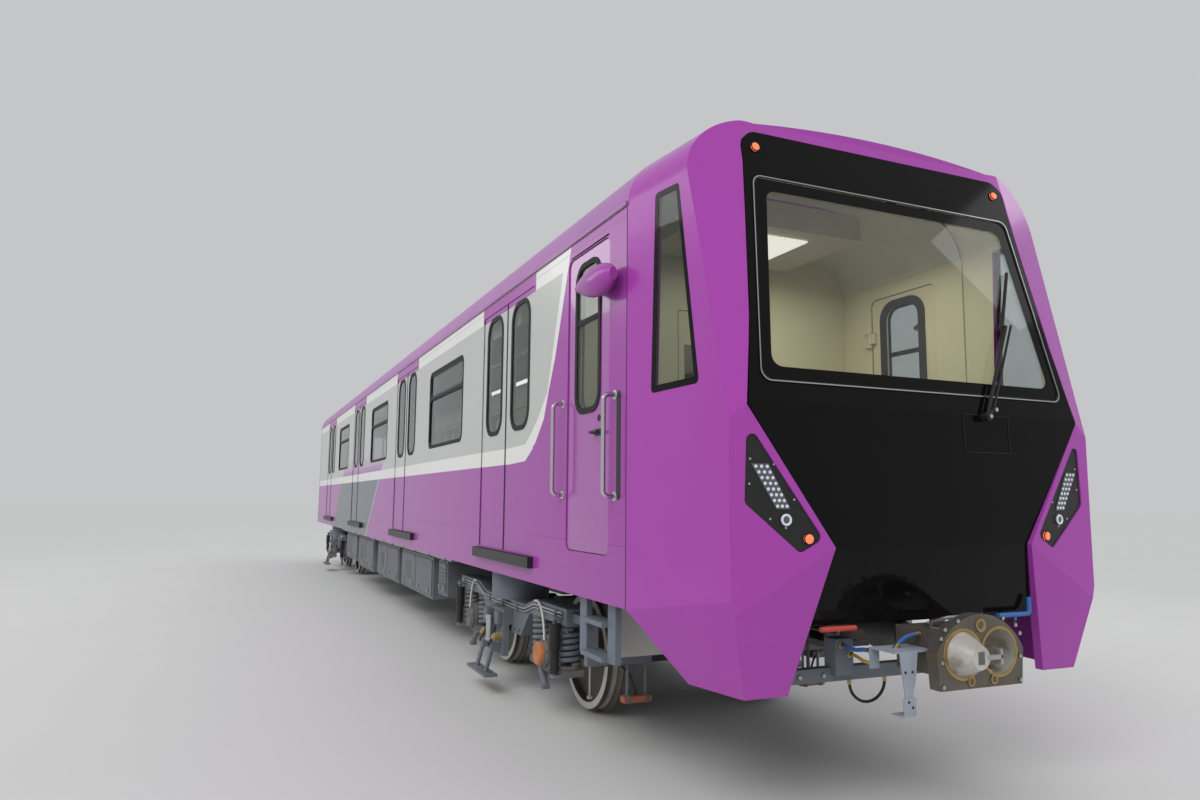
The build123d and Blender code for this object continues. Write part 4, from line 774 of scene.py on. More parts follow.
SEAT_BLACK = Fabric("seat_black_cloth", (0.022, 0.022, 0.026), 0.88, dust=0.0, second=(0.05, 0.05, 0.06))
HOSE_BLUE = Finish("hose_blue", (0.016, 0.105, 0.350), 0.46, mottle=0.15, dust=0.15)
HOSE_YELLOW = Finish("hose_yellow", (0.520, 0.330, 0.040), 0.50, mottle=0.15, dust=0.18)
ORANGE = Finish("orange_cover", (0.500, 0.160, 0.035), 0.50, mottle=0.3, mottle_scale=14.0, dust=0.15)
INSULATOR = Finish("insulator", (0.330, 0.240, 0.060), 0.40, mottle=0.2, mottle_scale=20.0, dust=0.30)
WHITE_LED = Glow("led_white", (0.55, 0.58, 0.62), 0.30, mottle=0.10, mottle_scale=40.0, dust=0.0,
                 strength=0.12)
LED_BED = Finish("led_bed", (0.085, 0.100, 0.115), 0.30, mottle=0.20, mottle_scale=60.0, dust=0.0)
RED_LENS = Glow("lens_red", (0.60, 0.090, 0.040), 0.22, coat=0.3, mottle=0.05, dust=0.0, strength=0.9,
                light=(1.0, 0.22, 0.08))
CAB_LAMP = Glow("cab_lamp", (0.85, 0.85, 0.82), 0.5, mottle=0.0, dust=0.0, strength=0.7,
                light=(1.0, 0.97, 0.90))
CEILING_LIGHT = Glow("ceiling_light", (0.85, 0.85, 0.82), 0.5, mottle=0.0, dust=0.0, strength=2.2,
                     light=(1.0, 0.97, 0.90))
SCREEN_DARK = Finish("screen_dark", (0.010, 0.013, 0.018), 0.12, mottle=0.1, dust=0.0)
SIDE_GLASS = Glass("side_glass", BLACK, tint=(0.42, 0.47, 0.47))
SCREEN_GLASS = Glass("screen_glass", BLACK, tint=(0.93, 0.96, 0.94))


# ---- mesh building ----


def placed(name: str, data: bpy.types.ID) -> bpy.types.Object:
    """Object with its data, linked to the scene."""
    thing = bpy.data.objects.new(name, data)
    bpy.context.scene.collection.objects.link(thing)
    return thing


def circle(place: Matrix, radius: float, count: int, start: float = 0.0) -> list[Vector]:
    """Closed loop round a frame's w, with its first point again at the end."""
    turns = (start + 2 * math.pi * n / count for n in range(count + 1))
    return [place @ Vector((radius * math.cos(turn), radius * math.sin(turn), 0.0)) for turn in turns]


def rounded(width: float, height: float, radius: float, steps: int = 6, middle: Point = (0.0, 0.0)) -> list:
    """Outline of a rounded rectangle, counter-clockwise.

    Args:
        width: Size along u.
        height: Size along v.
        radius: Corner radius.
        steps: Points of each corner.
        middle: Its centre.

    Returns:
        The (u, v) points.
    """
    points = []
    for corner, (sign_u, sign_v) in enumerate(((1, 1), (-1, 1), (-1, -1), (1, -1))):
        for k in range(steps):
            angle = math.pi / 2 * (corner + k / (steps - 1))
            points.append((middle[0] + sign_u * (width / 2 - radius) + radius * math.cos(angle),
                           middle[1] + sign_v * (height / 2 - radius) + radius * math.sin(angle)))
    return points


def side_place(side: int, y: float) -> Matrix:
    """Frame on one side of the car: u is X, v is Z and w points away from the car, from a given |y|."""
    return Matrix(((1, 0, 0, 0), (0, 0, side, side * y), (0, 1, 0, 0), (0, 0, 0, 1)))


def facing_place(origin: Point, facing: Point, up: Point = (0, 0, 1)) -> Matrix:
    """Frame at a point: w along facing, v as near to up as it can be."""
    w = Vector(facing).normalized()
    u = Vector(up).cross(w).normalized()
    v = w.cross(u)
    return Matrix.Translation(Vector(origin)) @ Matrix((u, v, w)).transposed().to_4x4()


class Shape:
    """Mesh of one piece, put together from closed forms in the car's frame."""

    def __init__(self) -> None:
        """Starts empty."""
        self.bm = bmesh.new()

    def block(self, low: Point, high: Point, bevel: float = 0.0, place: Optional[Matrix] = None) -> "Shape":
        """Adds a box with chamfered edges between two corners."""
        low_v, high_v = (Vector([pick(pair) for pair in zip(low, high)]) for pick in (min, max))
        verts = bmesh.ops.create_cube(self.bm, size=1.0)["verts"]
        for vert in verts:
            spot = Vector([low_v[i] + (high_v[i] - low_v[i]) * (vert.co[i] + 0.5) for i in range(3)])
            vert.co = place @ spot if place else spot
        self._flip(verts, place)
        self._chamfer(verts, min(bevel, 0.45 * min(high_v - low_v)))
        return self

    def _flip(self, verts: Iterable, place: Optional[Matrix]) -> None:
        """Turns faces right side out after a mirroring frame."""
        if place and place.determinant() < 0:
            faces = {face for vert in verts for face in vert.link_faces}
            bmesh.ops.reverse_faces(self.bm, faces=list(faces))

    def _chamfer(self, verts: Iterable, bevel: float) -> None:
        """Rounds the sharp edges of the last form."""
        if bevel <= 0:
            return
        edges = {edge for vert in verts for edge in vert.link_edges if edge.calc_face_angle(0) > 0.6}
        bmesh.ops.bevel(self.bm, geom=list(edges), offset=bevel, segments=2, profile=0.6, affect="EDGES")

    def bar(self, start: Point, end: Point, radius: float, segments: int = 16, tip: Optional[float] = None,
            bevel: float = 0.0) -> "Shape":
        """Adds a round bar, or a cone if its tip has another radius."""
        start_v, end_v = Vector(start), Vector(end)
        axis = end_v - start_v
        turn = axis.to_track_quat("Z", "Y").to_matrix().to_4x4()
        made = bmesh.ops.create_cone(self.bm, cap_ends=True, segments=segments, radius1=radius,
                                     radius2=radius if tip is None else tip, depth=axis.length,
                                     matrix=Matrix.Translation((start_v + end_v) / 2) @ turn)["verts"]
        self._chamfer(made, bevel)
        return self

    def plate(self, outline: Sequence[Point], depth: float, place: Matrix, bevel: float = 0.0) -> "Shape":
        """Adds a flat plate with an outline in a frame's u and v, thick along w."""
        low = [self.bm.verts.new(place @ Vector((u, v, 0.0))) for u, v in outline]
        high = [self.bm.verts.new(place @ Vector((u, v, depth))) for u, v in outline]
        self.bm.faces.new(list(reversed(low)))
        self.bm.faces.new(high)
        for k in range(len(outline)):
            j = (k + 1) % len(outline)
            self.bm.faces.new((low[k], low[j], high[j], high[k]))
        self._flip(low + high, place)
        self._chamfer(low + high, bevel)
        return self

    def frame(self, outer: Sequence[Point], inner: Sequence[Point], depth: float, place: Matrix) -> "Shape":
        """Adds a flat ring between two outlines with as many points each."""
        loops = [[place @ Vector((*spot, 0.0)) for spot in outline] for outline in (outer, inner)]
        return self.skin_ring(*loops, place.to_3x3() @ Vector((0.0, 0.0, depth)))

    def skin_ring(self, outer: Sequence[Vector], inner: Sequence[Vector], depth: Vector) -> "Shape":
        """Adds a ring between two loops of points in space, thick along a given step."""
        (out_low, out_high), (in_low, in_high) = [
            [[self.bm.verts.new(spot + step) for spot in loop] for step in (Vector((0.0, 0.0, 0.0)), depth)]
            for loop in (outer, inner)]
        made = []
        for k in range(len(outer)):
            j = (k + 1) % len(outer)
            for corners in ((out_low[k], out_low[j], out_high[j], out_high[k]),
                            (in_low[j], in_low[k], in_high[k], in_high[j]),
                            (out_high[k], out_high[j], in_high[j], in_high[k]),
                            (out_low[j], out_low[k], in_low[k], in_low[j])):
                made.append(self.bm.faces.new(corners))
        bmesh.ops.recalc_face_normals(self.bm, faces=made)
        return self

    def lathe(self, origin: Point, direction: Point, profile: Sequence[Point], segments: int = 32,
              hollow: bool = False) -> "Shape":
        """Adds a turned form.

        Args:
            origin: Where the distances along start.
            direction: Way that the distances run.
            profile: Pairs of distance along and radius.
            segments: Faces round it.
            hollow: True for a ring, whose last point joins its first; otherwise the ends are closed by discs.

        Returns:
            This shape.
        """
        upright = abs(Vector(direction).normalized().z) > 0.9
        place = facing_place(origin, direction, (1, 0, 0) if upright else (0, 0, 1))
        rings = []
        for along, radius in profile:
            loop = circle(place @ Matrix.Translation((0.0, 0.0, along)), radius, segments)
            rings.append([self.bm.verts.new(spot) for spot in loop[:1 if radius <= 0 else segments]])
        for low, high in zip(rings, rings[1:] + rings[:1] if hollow else rings[1:]):
            for k in range(segments):
                j = (k + 1) % segments
                if len(low) == 1 and len(high) == 1:
                    continue
                if len(low) == 1:
                    self.bm.faces.new((low[0], high[j], high[k]))
                elif len(high) == 1:
                    self.bm.faces.new((low[k], low[j], high[0]))
                else:
                    self.bm.faces.new((low[k], low[j], high[j], high[k]))
        for ring, back in () if hollow else ((rings[0], True), (rings[-1], False)):
            if len(ring) > 1:
                self.bm.faces.new(list(reversed(ring)) if back else ring)
        return self

    def pipe(self, path: Sequence[Point], radius: float, segments: int = 10) -> "Shape":
        """Adds a round tube that follows a path."""
        points = [Vector(point) for point in path]
        heading = (points[1] - points[0]).normalized()
        side = heading.orthogonal().normalized()
        rings = []
        for k, point in enumerate(points):
            near = points[min(k + 1, len(points) - 1)] - points[max(k - 1, 0)]
            turned = heading.rotation_difference(near.normalized())
            side = (turned @ side).normalized()
            heading = near.normalized()
            other = heading.cross(side)
            rings.append([self.bm.verts.new(point + radius * (side * math.cos(2 * math.pi * n / segments)
                                                             + other * math.sin(2 * math.pi * n / segments)))
                          for n in range(segments)])
        for low, high in zip(rings, rings[1:]):
            for n in range(segments):
                m = (n + 1) % segments
                self.bm.faces.new((low[n], low[m], high[m], high[n]))
        self.bm.faces.new(list(reversed(rings[0])))
        self.bm.faces.new(rings[-1])
        return self

    def bolts(self, spots: Iterable[Point], facing: Point, radius: float, height: float) -> "Shape":
        """Adds a hexagon bolt head at each spot, standing on a face."""
        out = Vector(facing).normalized()
        for spot in spots:
            foot = Vector(spot)
            self.bar(foot - out * 0.001, foot + out * height, radius, 6, bevel=radius * 0.15)
        return self

    def done(self, name: str, body: Optional[Body], finish: Finish, slot: str, replaces: Sequence[str] = (),
             angle: float = 40.0) -> bpy.types.Object:
        """Turns the mesh into a piece.

        Args:
            name: The piece's name.
            body: What it rides on, or None where it bends between two bodies.
            finish: Its finish.
            slot: The record's material slot; not used.
            replaces: CAD nodes that it stands for.
            angle: Edges sharper than this stay sharp, in degrees.

        Returns:
            The object.
        """
        mesh = bpy.data.meshes.new(name)
        self.bm.normal_update()
        self.bm.to_mesh(mesh)
        self.bm.free()
        mesh.polygons.foreach_set("use_smooth", [True] * len(mesh.polygons))
        mesh.set_sharp_from_angle(angle=math.radians(angle))
        piece = placed(name, mesh)
        mesh.materials.append(finish.build())
        if body:
            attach(piece, body.value)
        if replaces:
            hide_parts(*replaces)
        log.info("piece %s: %d faces", name, len(mesh.polygons))
        return piece


def dress(**finishes: Finish) -> None:
    """Gives each named CAD node its finish in every material slot."""
    for node, finish in finishes.items():
        material = finish.build()
        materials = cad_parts[node].data.materials
        if not materials:
            materials.append(material)
        for k in range(len(materials)):
            materials[k] = material


# ---- sub-assemblies ----


@dataclass
class Carbody:
    """Underframe, walls, roof, end wall and gangway."""

    roof_units: tuple = ((SALOON_MID + 3.70, 2.9, 3), (SALOON_MID - 3.70, 2.9, 3), (SEAM - 0.75, 0.9, 1))
    fan_pitch: float = 0.85
    fan_z: float = 3.728
    louvre_pitch: float = 0.06
    leaf_pane: tuple = (0.400, 0.980, 0.130)
    leaf_rubber: float = 0.038
    pane_spot: Point = (0.355, 2.680)
    jamb_x: float = 0.7085

    def dress(self) -> None:
        """Puts finishes on the CAD nodes."""
        dress(left_side_wall=LIVERY, right_side_wall=LIVERY, passenger_doors=LIVERY, underframe=UNDER_STEEL,
              roof=ROOF_PAINT, air_conditioners=ROOF_UNIT, rear_end_wall=END_PAINT, gangway_bellows=BELLOWS,
              gangway_frame=DARK_STEEL, window_frames=BLACK_RUBBER, side_glass=SIDE_GLASS,
              door_steps=BLACK_SATIN)

    def roof_fittings(self) -> None:
        """Fan guards and louvres of the air conditioners."""
        guards = Shape()
        louvres = Shape()
        for middle, length, fans in self.roof_units:
            for k in range(fans):
                x = middle + (k - (fans - 1) / 2) * self.fan_pitch
                for radius in (0.08, 0.14, 0.20, 0.26):
                    guards.pipe(circle(Matrix.Translation((x, 0.0, self.fan_z)), radius, 36), 0.003, 6)
                rim = circle(Matrix.Translation((x, 0.0, self.fan_z - 0.004)), 0.262, 16)
                for end, start in zip(rim[:8], rim[8:]):
                    guards.bar(start, end, 0.003, 6)
            for side in SIDES:
                for k in range(int(length / self.louvre_pitch)):
                    x = middle - length / 2 + (k + 1) * self.louvre_pitch
                    if abs((x - middle) % self.fan_pitch - self.fan_pitch / 2) < 0.34 or fans == 1:
                        louvres.block((x, side * 0.42, 3.715), (x + 0.035, side * 0.66, 3.7215), 0.002)
        guards.done("fan_guards", Body.CAR, DARK_STEEL, "roof_paint")
        louvres.done("roof_louvres", Body.CAR, GLOSS_VIOLET, "roof_paint")

    def door_trim(self) -> None:
        """Rubber round each pane, at each meeting edge and along the jambs, and the step plates' treads."""
        rubber = Shape()
        treads = Shape()
        width, height, radius = self.leaf_pane
        grown = [size + 2 * self.leaf_rubber for size in (width, height)]
        for side, door_x in product(SIDES, DOORS_X):
            face = side_place(side, DOOR_FACE - 0.003)
            for leaf in (-1, 1):
                spot = (door_x + leaf * self.pane_spot[0], self.pane_spot[1])
                rubber.frame(rounded(*grown, radius + self.leaf_rubber, 9, spot),
                             rounded(width, height, radius, 9, spot), 0.0085, face)
            rubber.block((door_x - 0.011, side * (DOOR_FACE - 0.003), 1.195),
                         (door_x + 0.011, side * (DOOR_FACE + 0.0045), 3.245), 0.003)
            for edge in (-1, 1):
                x = door_x + edge * self.jamb_x
                rubber.block((x - 0.006, side * (DOOR_FACE - 0.003), 1.21),
                             (x + 0.006, side * (DOOR_FACE + 0.002), 3.23), 0.001)
            for k in range(24):
                x = door_x - 0.745 + k * 0.064
                treads.block((x, side * (HALF_WIDTH + 0.004), 1.1845),
                             (x + 0.03, side * (HALF_WIDTH + 0.041), 1.188), 0.001)
        rubber.done("door_rubbers", Body.CAR, BLACK_RUBBER, "window_rubber")
        treads.done("step_treads", Body.CAR, BLACK_SATIN, "step_plate")

    def window_trim(self) -> None:
        """Sash of each tilting light, seen inside the rubber frame."""
        sash = Shape()
        for side, x in product(SIDES, WINDOWS_X):
            sash.frame(rounded(1.478, 0.276, 0.055, 6, (x, 2.884)),
                       rounded(1.424, 0.222, 0.035, 6, (x, 2.884)), 0.006, side_place(side, 1.3415))
            sash.block((x - 0.05, side * 1.3305, 2.772), (x + 0.05, side * 1.3225, 2.790), 0.003)
        sash.done("window_sashes", Body.CAR, BLACK_SATIN, "window_rubber")

    def side_lines(self) -> None:
        """The joint at the mask and the drip strip over each cab door."""
        seams = Shape()
        for side in SIDES:
            seams.block((SEAM - 0.006, side * (HALF_WIDTH - 0.006), SILL_Z + 0.004),
                        (SEAM - 0.0005, side * (HALF_WIDTH + 0.0015), EAVES_Z), 0.0)
            seams.block((SEAM - 0.884, side * (HALF_WIDTH - 0.002), 3.2445),
                        (SEAM - 0.268, side * (HALF_WIDTH + 0.005), 3.2525), 0.002)
        seams.done("mask_joint", Body.CAR, BLACK_RUBBER, "window_rubber")

    def build(self) -> None:
        """Makes all of it."""
        self.dress()
        self.roof_fittings()
        self.door_trim()
        self.window_trim()
        self.side_lines()


@dataclass
class CabMask:
    """Cab front: mask, black panel, screen, lamps, wiper and camera pods."""

    cheek: Point = (0.9943, 0.1064, 0.0)
    cheek_corner: Point = (0.980, 0.675)
    led_corners: tuple = ((1.128, 1.790), (1.035, 1.790), (0.919, 1.572), (0.995, 1.572))
    led_rows: int = 8
    led_columns: int = 3
    ring_spot: Point = (0.945, 1.520)
    tail_spot: Point = (0.822, 1.428)
    marker_spot: Point = (0.891, 3.533)
    lens_radius: float = 0.024
    screws: tuple = ((1.132, 1.812), (1.005, 1.788), (1.138, 1.692), (0.897, 1.618), (1.029, 1.524),
                     (0.945, 1.482))
    screen_half: Point = (0.937, 1.060)
    screen_height: Point = (3.359, 2.199)

    def dress(self) -> None:
        """Puts finishes on the CAD nodes."""
        dress(cab_mask=LIT_MASK_PAINT, front_panel=BLACK_GLOSS, windscreen_frame=BLACK_SATIN,
              windscreen=SCREEN_GLASS, headlamp_panels=BLACK_SATIN, headlamps=LED_BED, signal_lamps=RED_LENS,
              camera_pods=GLOSS_VIOLET, wiper=BLACK_SATIN)

    def cheek_spot(self, y: float, z: float, side: int, behind: float) -> Vector:
        """Point on or behind a cheek's face at a distance from the middle and a height."""
        x = self.cheek_corner[0] - (y - self.cheek_corner[1]) * self.cheek[1] / self.cheek[0]
        facing = Vector((self.cheek[0], side * self.cheek[1], 0.0)).normalized()
        return Vector((ahead(x), side * y, z)) - facing * behind

    def face_x(self, z: float) -> float:
        """X of the leaning face at a height."""
        return ahead(FACE_FOOT[0] - FACE_SLOPE * (z - FACE_FOOT[1]))

    def lamps(self) -> None:
        """LED squares in rows, ring lamp, red lenses with their bezels, and the carrier's screws."""
        leds, rings, lenses, bezels, screws = Shape(), Shape(), Shape(), Shape(), Shape()
        for side in SIDES:
            facing = Vector((self.cheek[0], side * self.cheek[1], 0.0))
            a, b, c, d = [Vector((*corner, 0.0)) for corner in self.led_corners]
            for row, column in product(range(self.led_rows), range(self.led_columns)):
                u, v = (column + 0.5) / self.led_columns, (row + 0.5) / self.led_rows
                spot = a.lerp(b, u).lerp(d.lerp(c, u), v)
                leds.lathe(self.cheek_spot(spot.x, spot.y, side, 0.0032), facing,
                           [(0.0, 0.0085), (0.003, 0.008), (0.005, 0.004), (0.005, 0.0)], 12)
            ring = facing_place(self.cheek_spot(*self.ring_spot, side, 0.0), facing)
            rings.pipe(circle(ring, 0.0235, 32), 0.0062, 10)
            size = self.lens_radius
            for lens, out in ((self.cheek_spot(*self.tail_spot, side, 0.0), facing),
                              (self.marker_place(side), Vector(LEAN))):
                lenses.lathe(lens, out,
                             [(0.0, size), (0.003, size * 0.95), (0.006, size * 0.6), (0.007, 0.0)], 28)
                rim = facing_place(lens + out.normalized() * 0.001, out)
                bezels.pipe(circle(rim, size + 0.002, 32), 0.0035, 8)
            for y, z in self.screws:
                screws.lathe(self.cheek_spot(y, z, side, 0.008), facing,
                             [(0.0, 0.0062), (0.002, 0.0055), (0.002, 0.003), (0.001, 0.0)], 12)
        leds.done("headlamp_leds", Body.CAR, WHITE_LED, "lamp_white")
        rings.done("ring_lamps", Body.CAR, WHITE_LED, "lamp_white")
        lenses.done("red_lenses", Body.CAR, RED_LENS, "lamp_red")
        bezels.done("lens_bezels", Body.CAR, BLACK_RUBBER, "lamp_carrier")
        screws.done("lamp_screws", Body.CAR, SILVER, "silver_trim")

    def marker_place(self, side: int) -> Vector:
        """Foot of a marker light's lens on the leaning face."""
        y, z = self.marker_spot
        return Vector((self.face_x(z), side * y, z)) + Vector(LEAN) * 0.008

    def screen_ring(self, inset: float, radius: float, steps: int = 6) -> list:
        """Rounded trapezoid of the windscreen, drawn in by an inset.

        Args:
            inset: How far it is drawn in.
            radius: Corner radius.
            steps: Points of each corner.

        Returns:
            The (u, v) points in the leaning face's frame, from the screen's middle.
        """
        middle = sum(self.screen_height) / 2
        stretch = 1.0 / LEAN[0]
        top = Vector((self.screen_half[0] - inset, (self.screen_height[0] - middle - inset) * stretch))
        foot = Vector((self.screen_half[1] - inset, (self.screen_height[1] - middle + inset) * stretch))
        corners = [Vector((sign * end.x, end.y))
                   for end, sign in ((top, 1), (top, -1), (foot, -1), (foot, 1))]
        ring = []
        for k, corner in enumerate(corners):
            before, after = ((corners[(k + step) % 4] - corner).normalized() for step in (-1, 1))
            half = before.angle(after) / 2
            centre = corner + (before + after).normalized() * radius / math.sin(half)
            start = (corner + before * radius / math.tan(half)) - centre
            sweep = math.pi - 2 * half
            for n in range(steps):
                turn = sweep * n / (steps - 1)
                ring.append((centre.x + start.x * math.cos(turn) - start.y * math.sin(turn),
                             centre.y + start.x * math.sin(turn) + start.y * math.cos(turn)))
        return ring

    def screen_border(self) -> None:
        """Black print along the windscreen's edge and the thin bright bead round its frame."""
        border, bead = Shape(), Shape()
        middle = sum(self.screen_height) / 2
        at_screen = Vector((self.face_x(middle), 0.0, middle))
        place = facing_place(at_screen - Vector(LEAN) * 0.0018, LEAN)
        border.frame(self.screen_ring(0.014, 0.050), self.screen_ring(0.082, 0.060), 0.001, place)
        border.done("screen_border", Body.CAR, BLACK_GLOSS, "black_panel")
        place = facing_place(at_screen + Vector(LEAN) * 0.0055, LEAN)
        bead.frame(self.screen_ring(0.0012, 0.058), self.screen_ring(0.0062, 0.055), 0.0022, place)
        bead.done("screen_bead", Body.CAR, SILVER, "silver_trim")

    def panel_lines(self) -> None:
        """Thin groove covers of the hatch on the black panel."""
        hatch = Shape()
        place = facing_place((ahead(0.9416), 0.418, 1.990), (0.9996, 0.0, 0.0281))
        hatch.frame(rounded(0.342, 0.210, 0.010, 4), rounded(0.336, 0.204, 0.007, 4), 0.0010, place)
        hatch.done("panel_hatch", Body.CAR, BLACK_SATIN, "black_panel")

    def window_borders(self) -> None:
        """Black print along the edge of each slanted window in the mask's sides."""
        outer = [(0.292, 3.322), (0.517, 3.315), (0.686, 2.202), (0.249, 2.193)]
        inner = [(0.322, 3.288), (0.490, 3.283), (0.643, 2.240), (0.288, 2.233)]
        border = Shape()
        for side in SIDES:
            slope = Vector((MASK_SIDE_TAPER, side * 1.0, 0.0)).normalized()
            rings = []
            for ring in (outer, inner):
                points = [Vector((ahead(x), side * (HALF_WIDTH - MASK_SIDE_TAPER * x), z)) - slope * 0.0016
                          for x, z in ring]
                rings.append(points)
            border.skin_ring(rings[0], rings[1], -slope * 0.001)
        border.done("mask_window_borders", Body.CAR, BLACK_GLOSS, "black_panel")

    def wiper_details(self) -> None:
        """Blade with its rubber, and the nuts at the pivots."""
        blade = Shape()
        ends = (0.560, 2.300), (0.840, 3.000)
        lean = Vector(LEAN).normalized()
        points = [Vector((self.face_x(z), y, z)) + lean * 0.0025 for y, z in ends]
        blade.bar(points[0], points[1], 0.0028, 8)
        for k in range(5):
            spot = points[0].lerp(points[1], (k + 0.5) / 5)
            blade.bar(spot, spot + lean * 0.012, 0.004, 8)
        blade.done("wiper_blade", Body.CAR, BLACK_RUBBER, "wiper_black")
        nuts = Shape()
        for y, z, x in ((0.398, 2.085, 0.985), (0.452, 2.125, 0.975)):
            nuts.bar((ahead(x) - 0.001, y, z), (ahead(x) + 0.012, y, z), 0.013, 6, bevel=0.002)
        nuts.done("wiper_nuts", Body.CAR, SILVER, "silver_trim")

    def build(self) -> None:
        """Makes all of it."""
        self.dress()
        self.lamps()
        self.screen_border()
        self.panel_lines()
        self.window_borders()
        self.wiper_details()


@dataclass
class CabDoors:
    """Hinged cab doors with their handles, rails and pockets."""

    pane_x: float = -0.605
    pane_z: float = 2.665
    pane: tuple = (0.345, 0.935, 0.098)
    handle: tuple = ((-0.470, 1.346), (-0.470, 1.375), (-0.462, 1.386), (-0.400, 1.388), (-0.345, 1.384))
    handle_z: float = 2.026
    rails: tuple = ((-1.012, 1.600, 2.300), (-0.160, 1.590, 2.270))

    def dress(self) -> None:
        """Puts finishes on the CAD nodes."""
        dress(left_cab_door=DOOR_PAINT, left_cab_door_glass=SIDE_GLASS, right_cab_door=DOOR_PAINT,
              right_cab_door_glass=SIDE_GLASS, cab_handrails=POLISHED, cab_ladders=STEPWORK)

    def leaf_details(self) -> None:
        """Rubber round the pane, sash bar, handle and lock of each leaf."""
        pane = rounded(*self.pane, 9, (ahead(self.pane_x), self.pane_z))
        for side, body, name in ((1, Body.LEFT_DOOR, "left"), (-1, Body.RIGHT_DOOR, "right")):
            rubber = Shape()
            face = side_place(side, DOOR_FACE - 0.003)
            spot = (ahead(self.pane_x), self.pane_z)
            rubber.frame(rounded(0.420, 1.010, 0.135, 9, spot), pane, 0.010, face)
            rubber.block((spot[0] - 0.175, side * 1.3415, 2.752), (spot[0] + 0.175, side * 1.3475, 2.790),
                         0.003)
            inside = side_place(side, DOOR_FACE - 0.052)
            rubber.frame(rounded(0.470, 1.060, 0.150, 9, spot), pane, 0.012, inside)
            rubber.done(f"{name}_cab_pane_rubber", body, BLACK_RUBBER, "window_rubber")
            lock = Shape()
            lock.block((ahead(-0.480), side * DOOR_FACE, self.handle_z - 0.022),
                       (ahead(-0.345), side * (DOOR_FACE + 0.0035), self.handle_z + 0.022), 0.0015)
            lock.pipe([(ahead(x), side * y, self.handle_z) for x, y in self.handle], 0.009, 10)
            lock.lathe((ahead(-0.415), side * DOOR_FACE, self.handle_z + 0.089), (0, side, 0),
                       [(0.0, 0.022), (0.003, 0.021), (0.003, 0.012), (0.001, 0.010), (0.001, 0.0)], 24)
            lock.done(f"{name}_cab_door_handle", body, BLACK_SATIN, "wiper_black")

    def pockets(self) -> None:
        """Black recess beside each front rail and the rails' flanges."""
        pocket = Shape()
        flange = Shape()
        for side in SIDES:
            pocket.plate(rounded(0.060, 0.640, 0.028, 6, (ahead(-0.108), 1.930)), 0.0012,
                         side_place(side, HALF_WIDTH))
            for x, foot, top in self.rails:
                for z in (foot + 0.040, top - 0.040):
                    flange.lathe((ahead(x), side * HALF_WIDTH, z), (0, side, 0),
                                 [(0.0, 0.030), (0.004, 0.029), (0.006, 0.018), (0.006, 0.014)], 24)
        pocket.done("rail_pockets", Body.CAR, BLACK_SATIN, "window_rubber")
        flange.done("rail_flanges", Body.CAR, POLISHED, "pole_steel")

    def build(self) -> None:
        """Makes all of it."""
        self.dress()
        self.leaf_details()
        self.pockets()


class Corner(NamedTuple):
    """One end of an axle: the wheelset's number, its X, the way to the bogie's end and the side."""

    number: int
    x: float
    out: int
    side: int


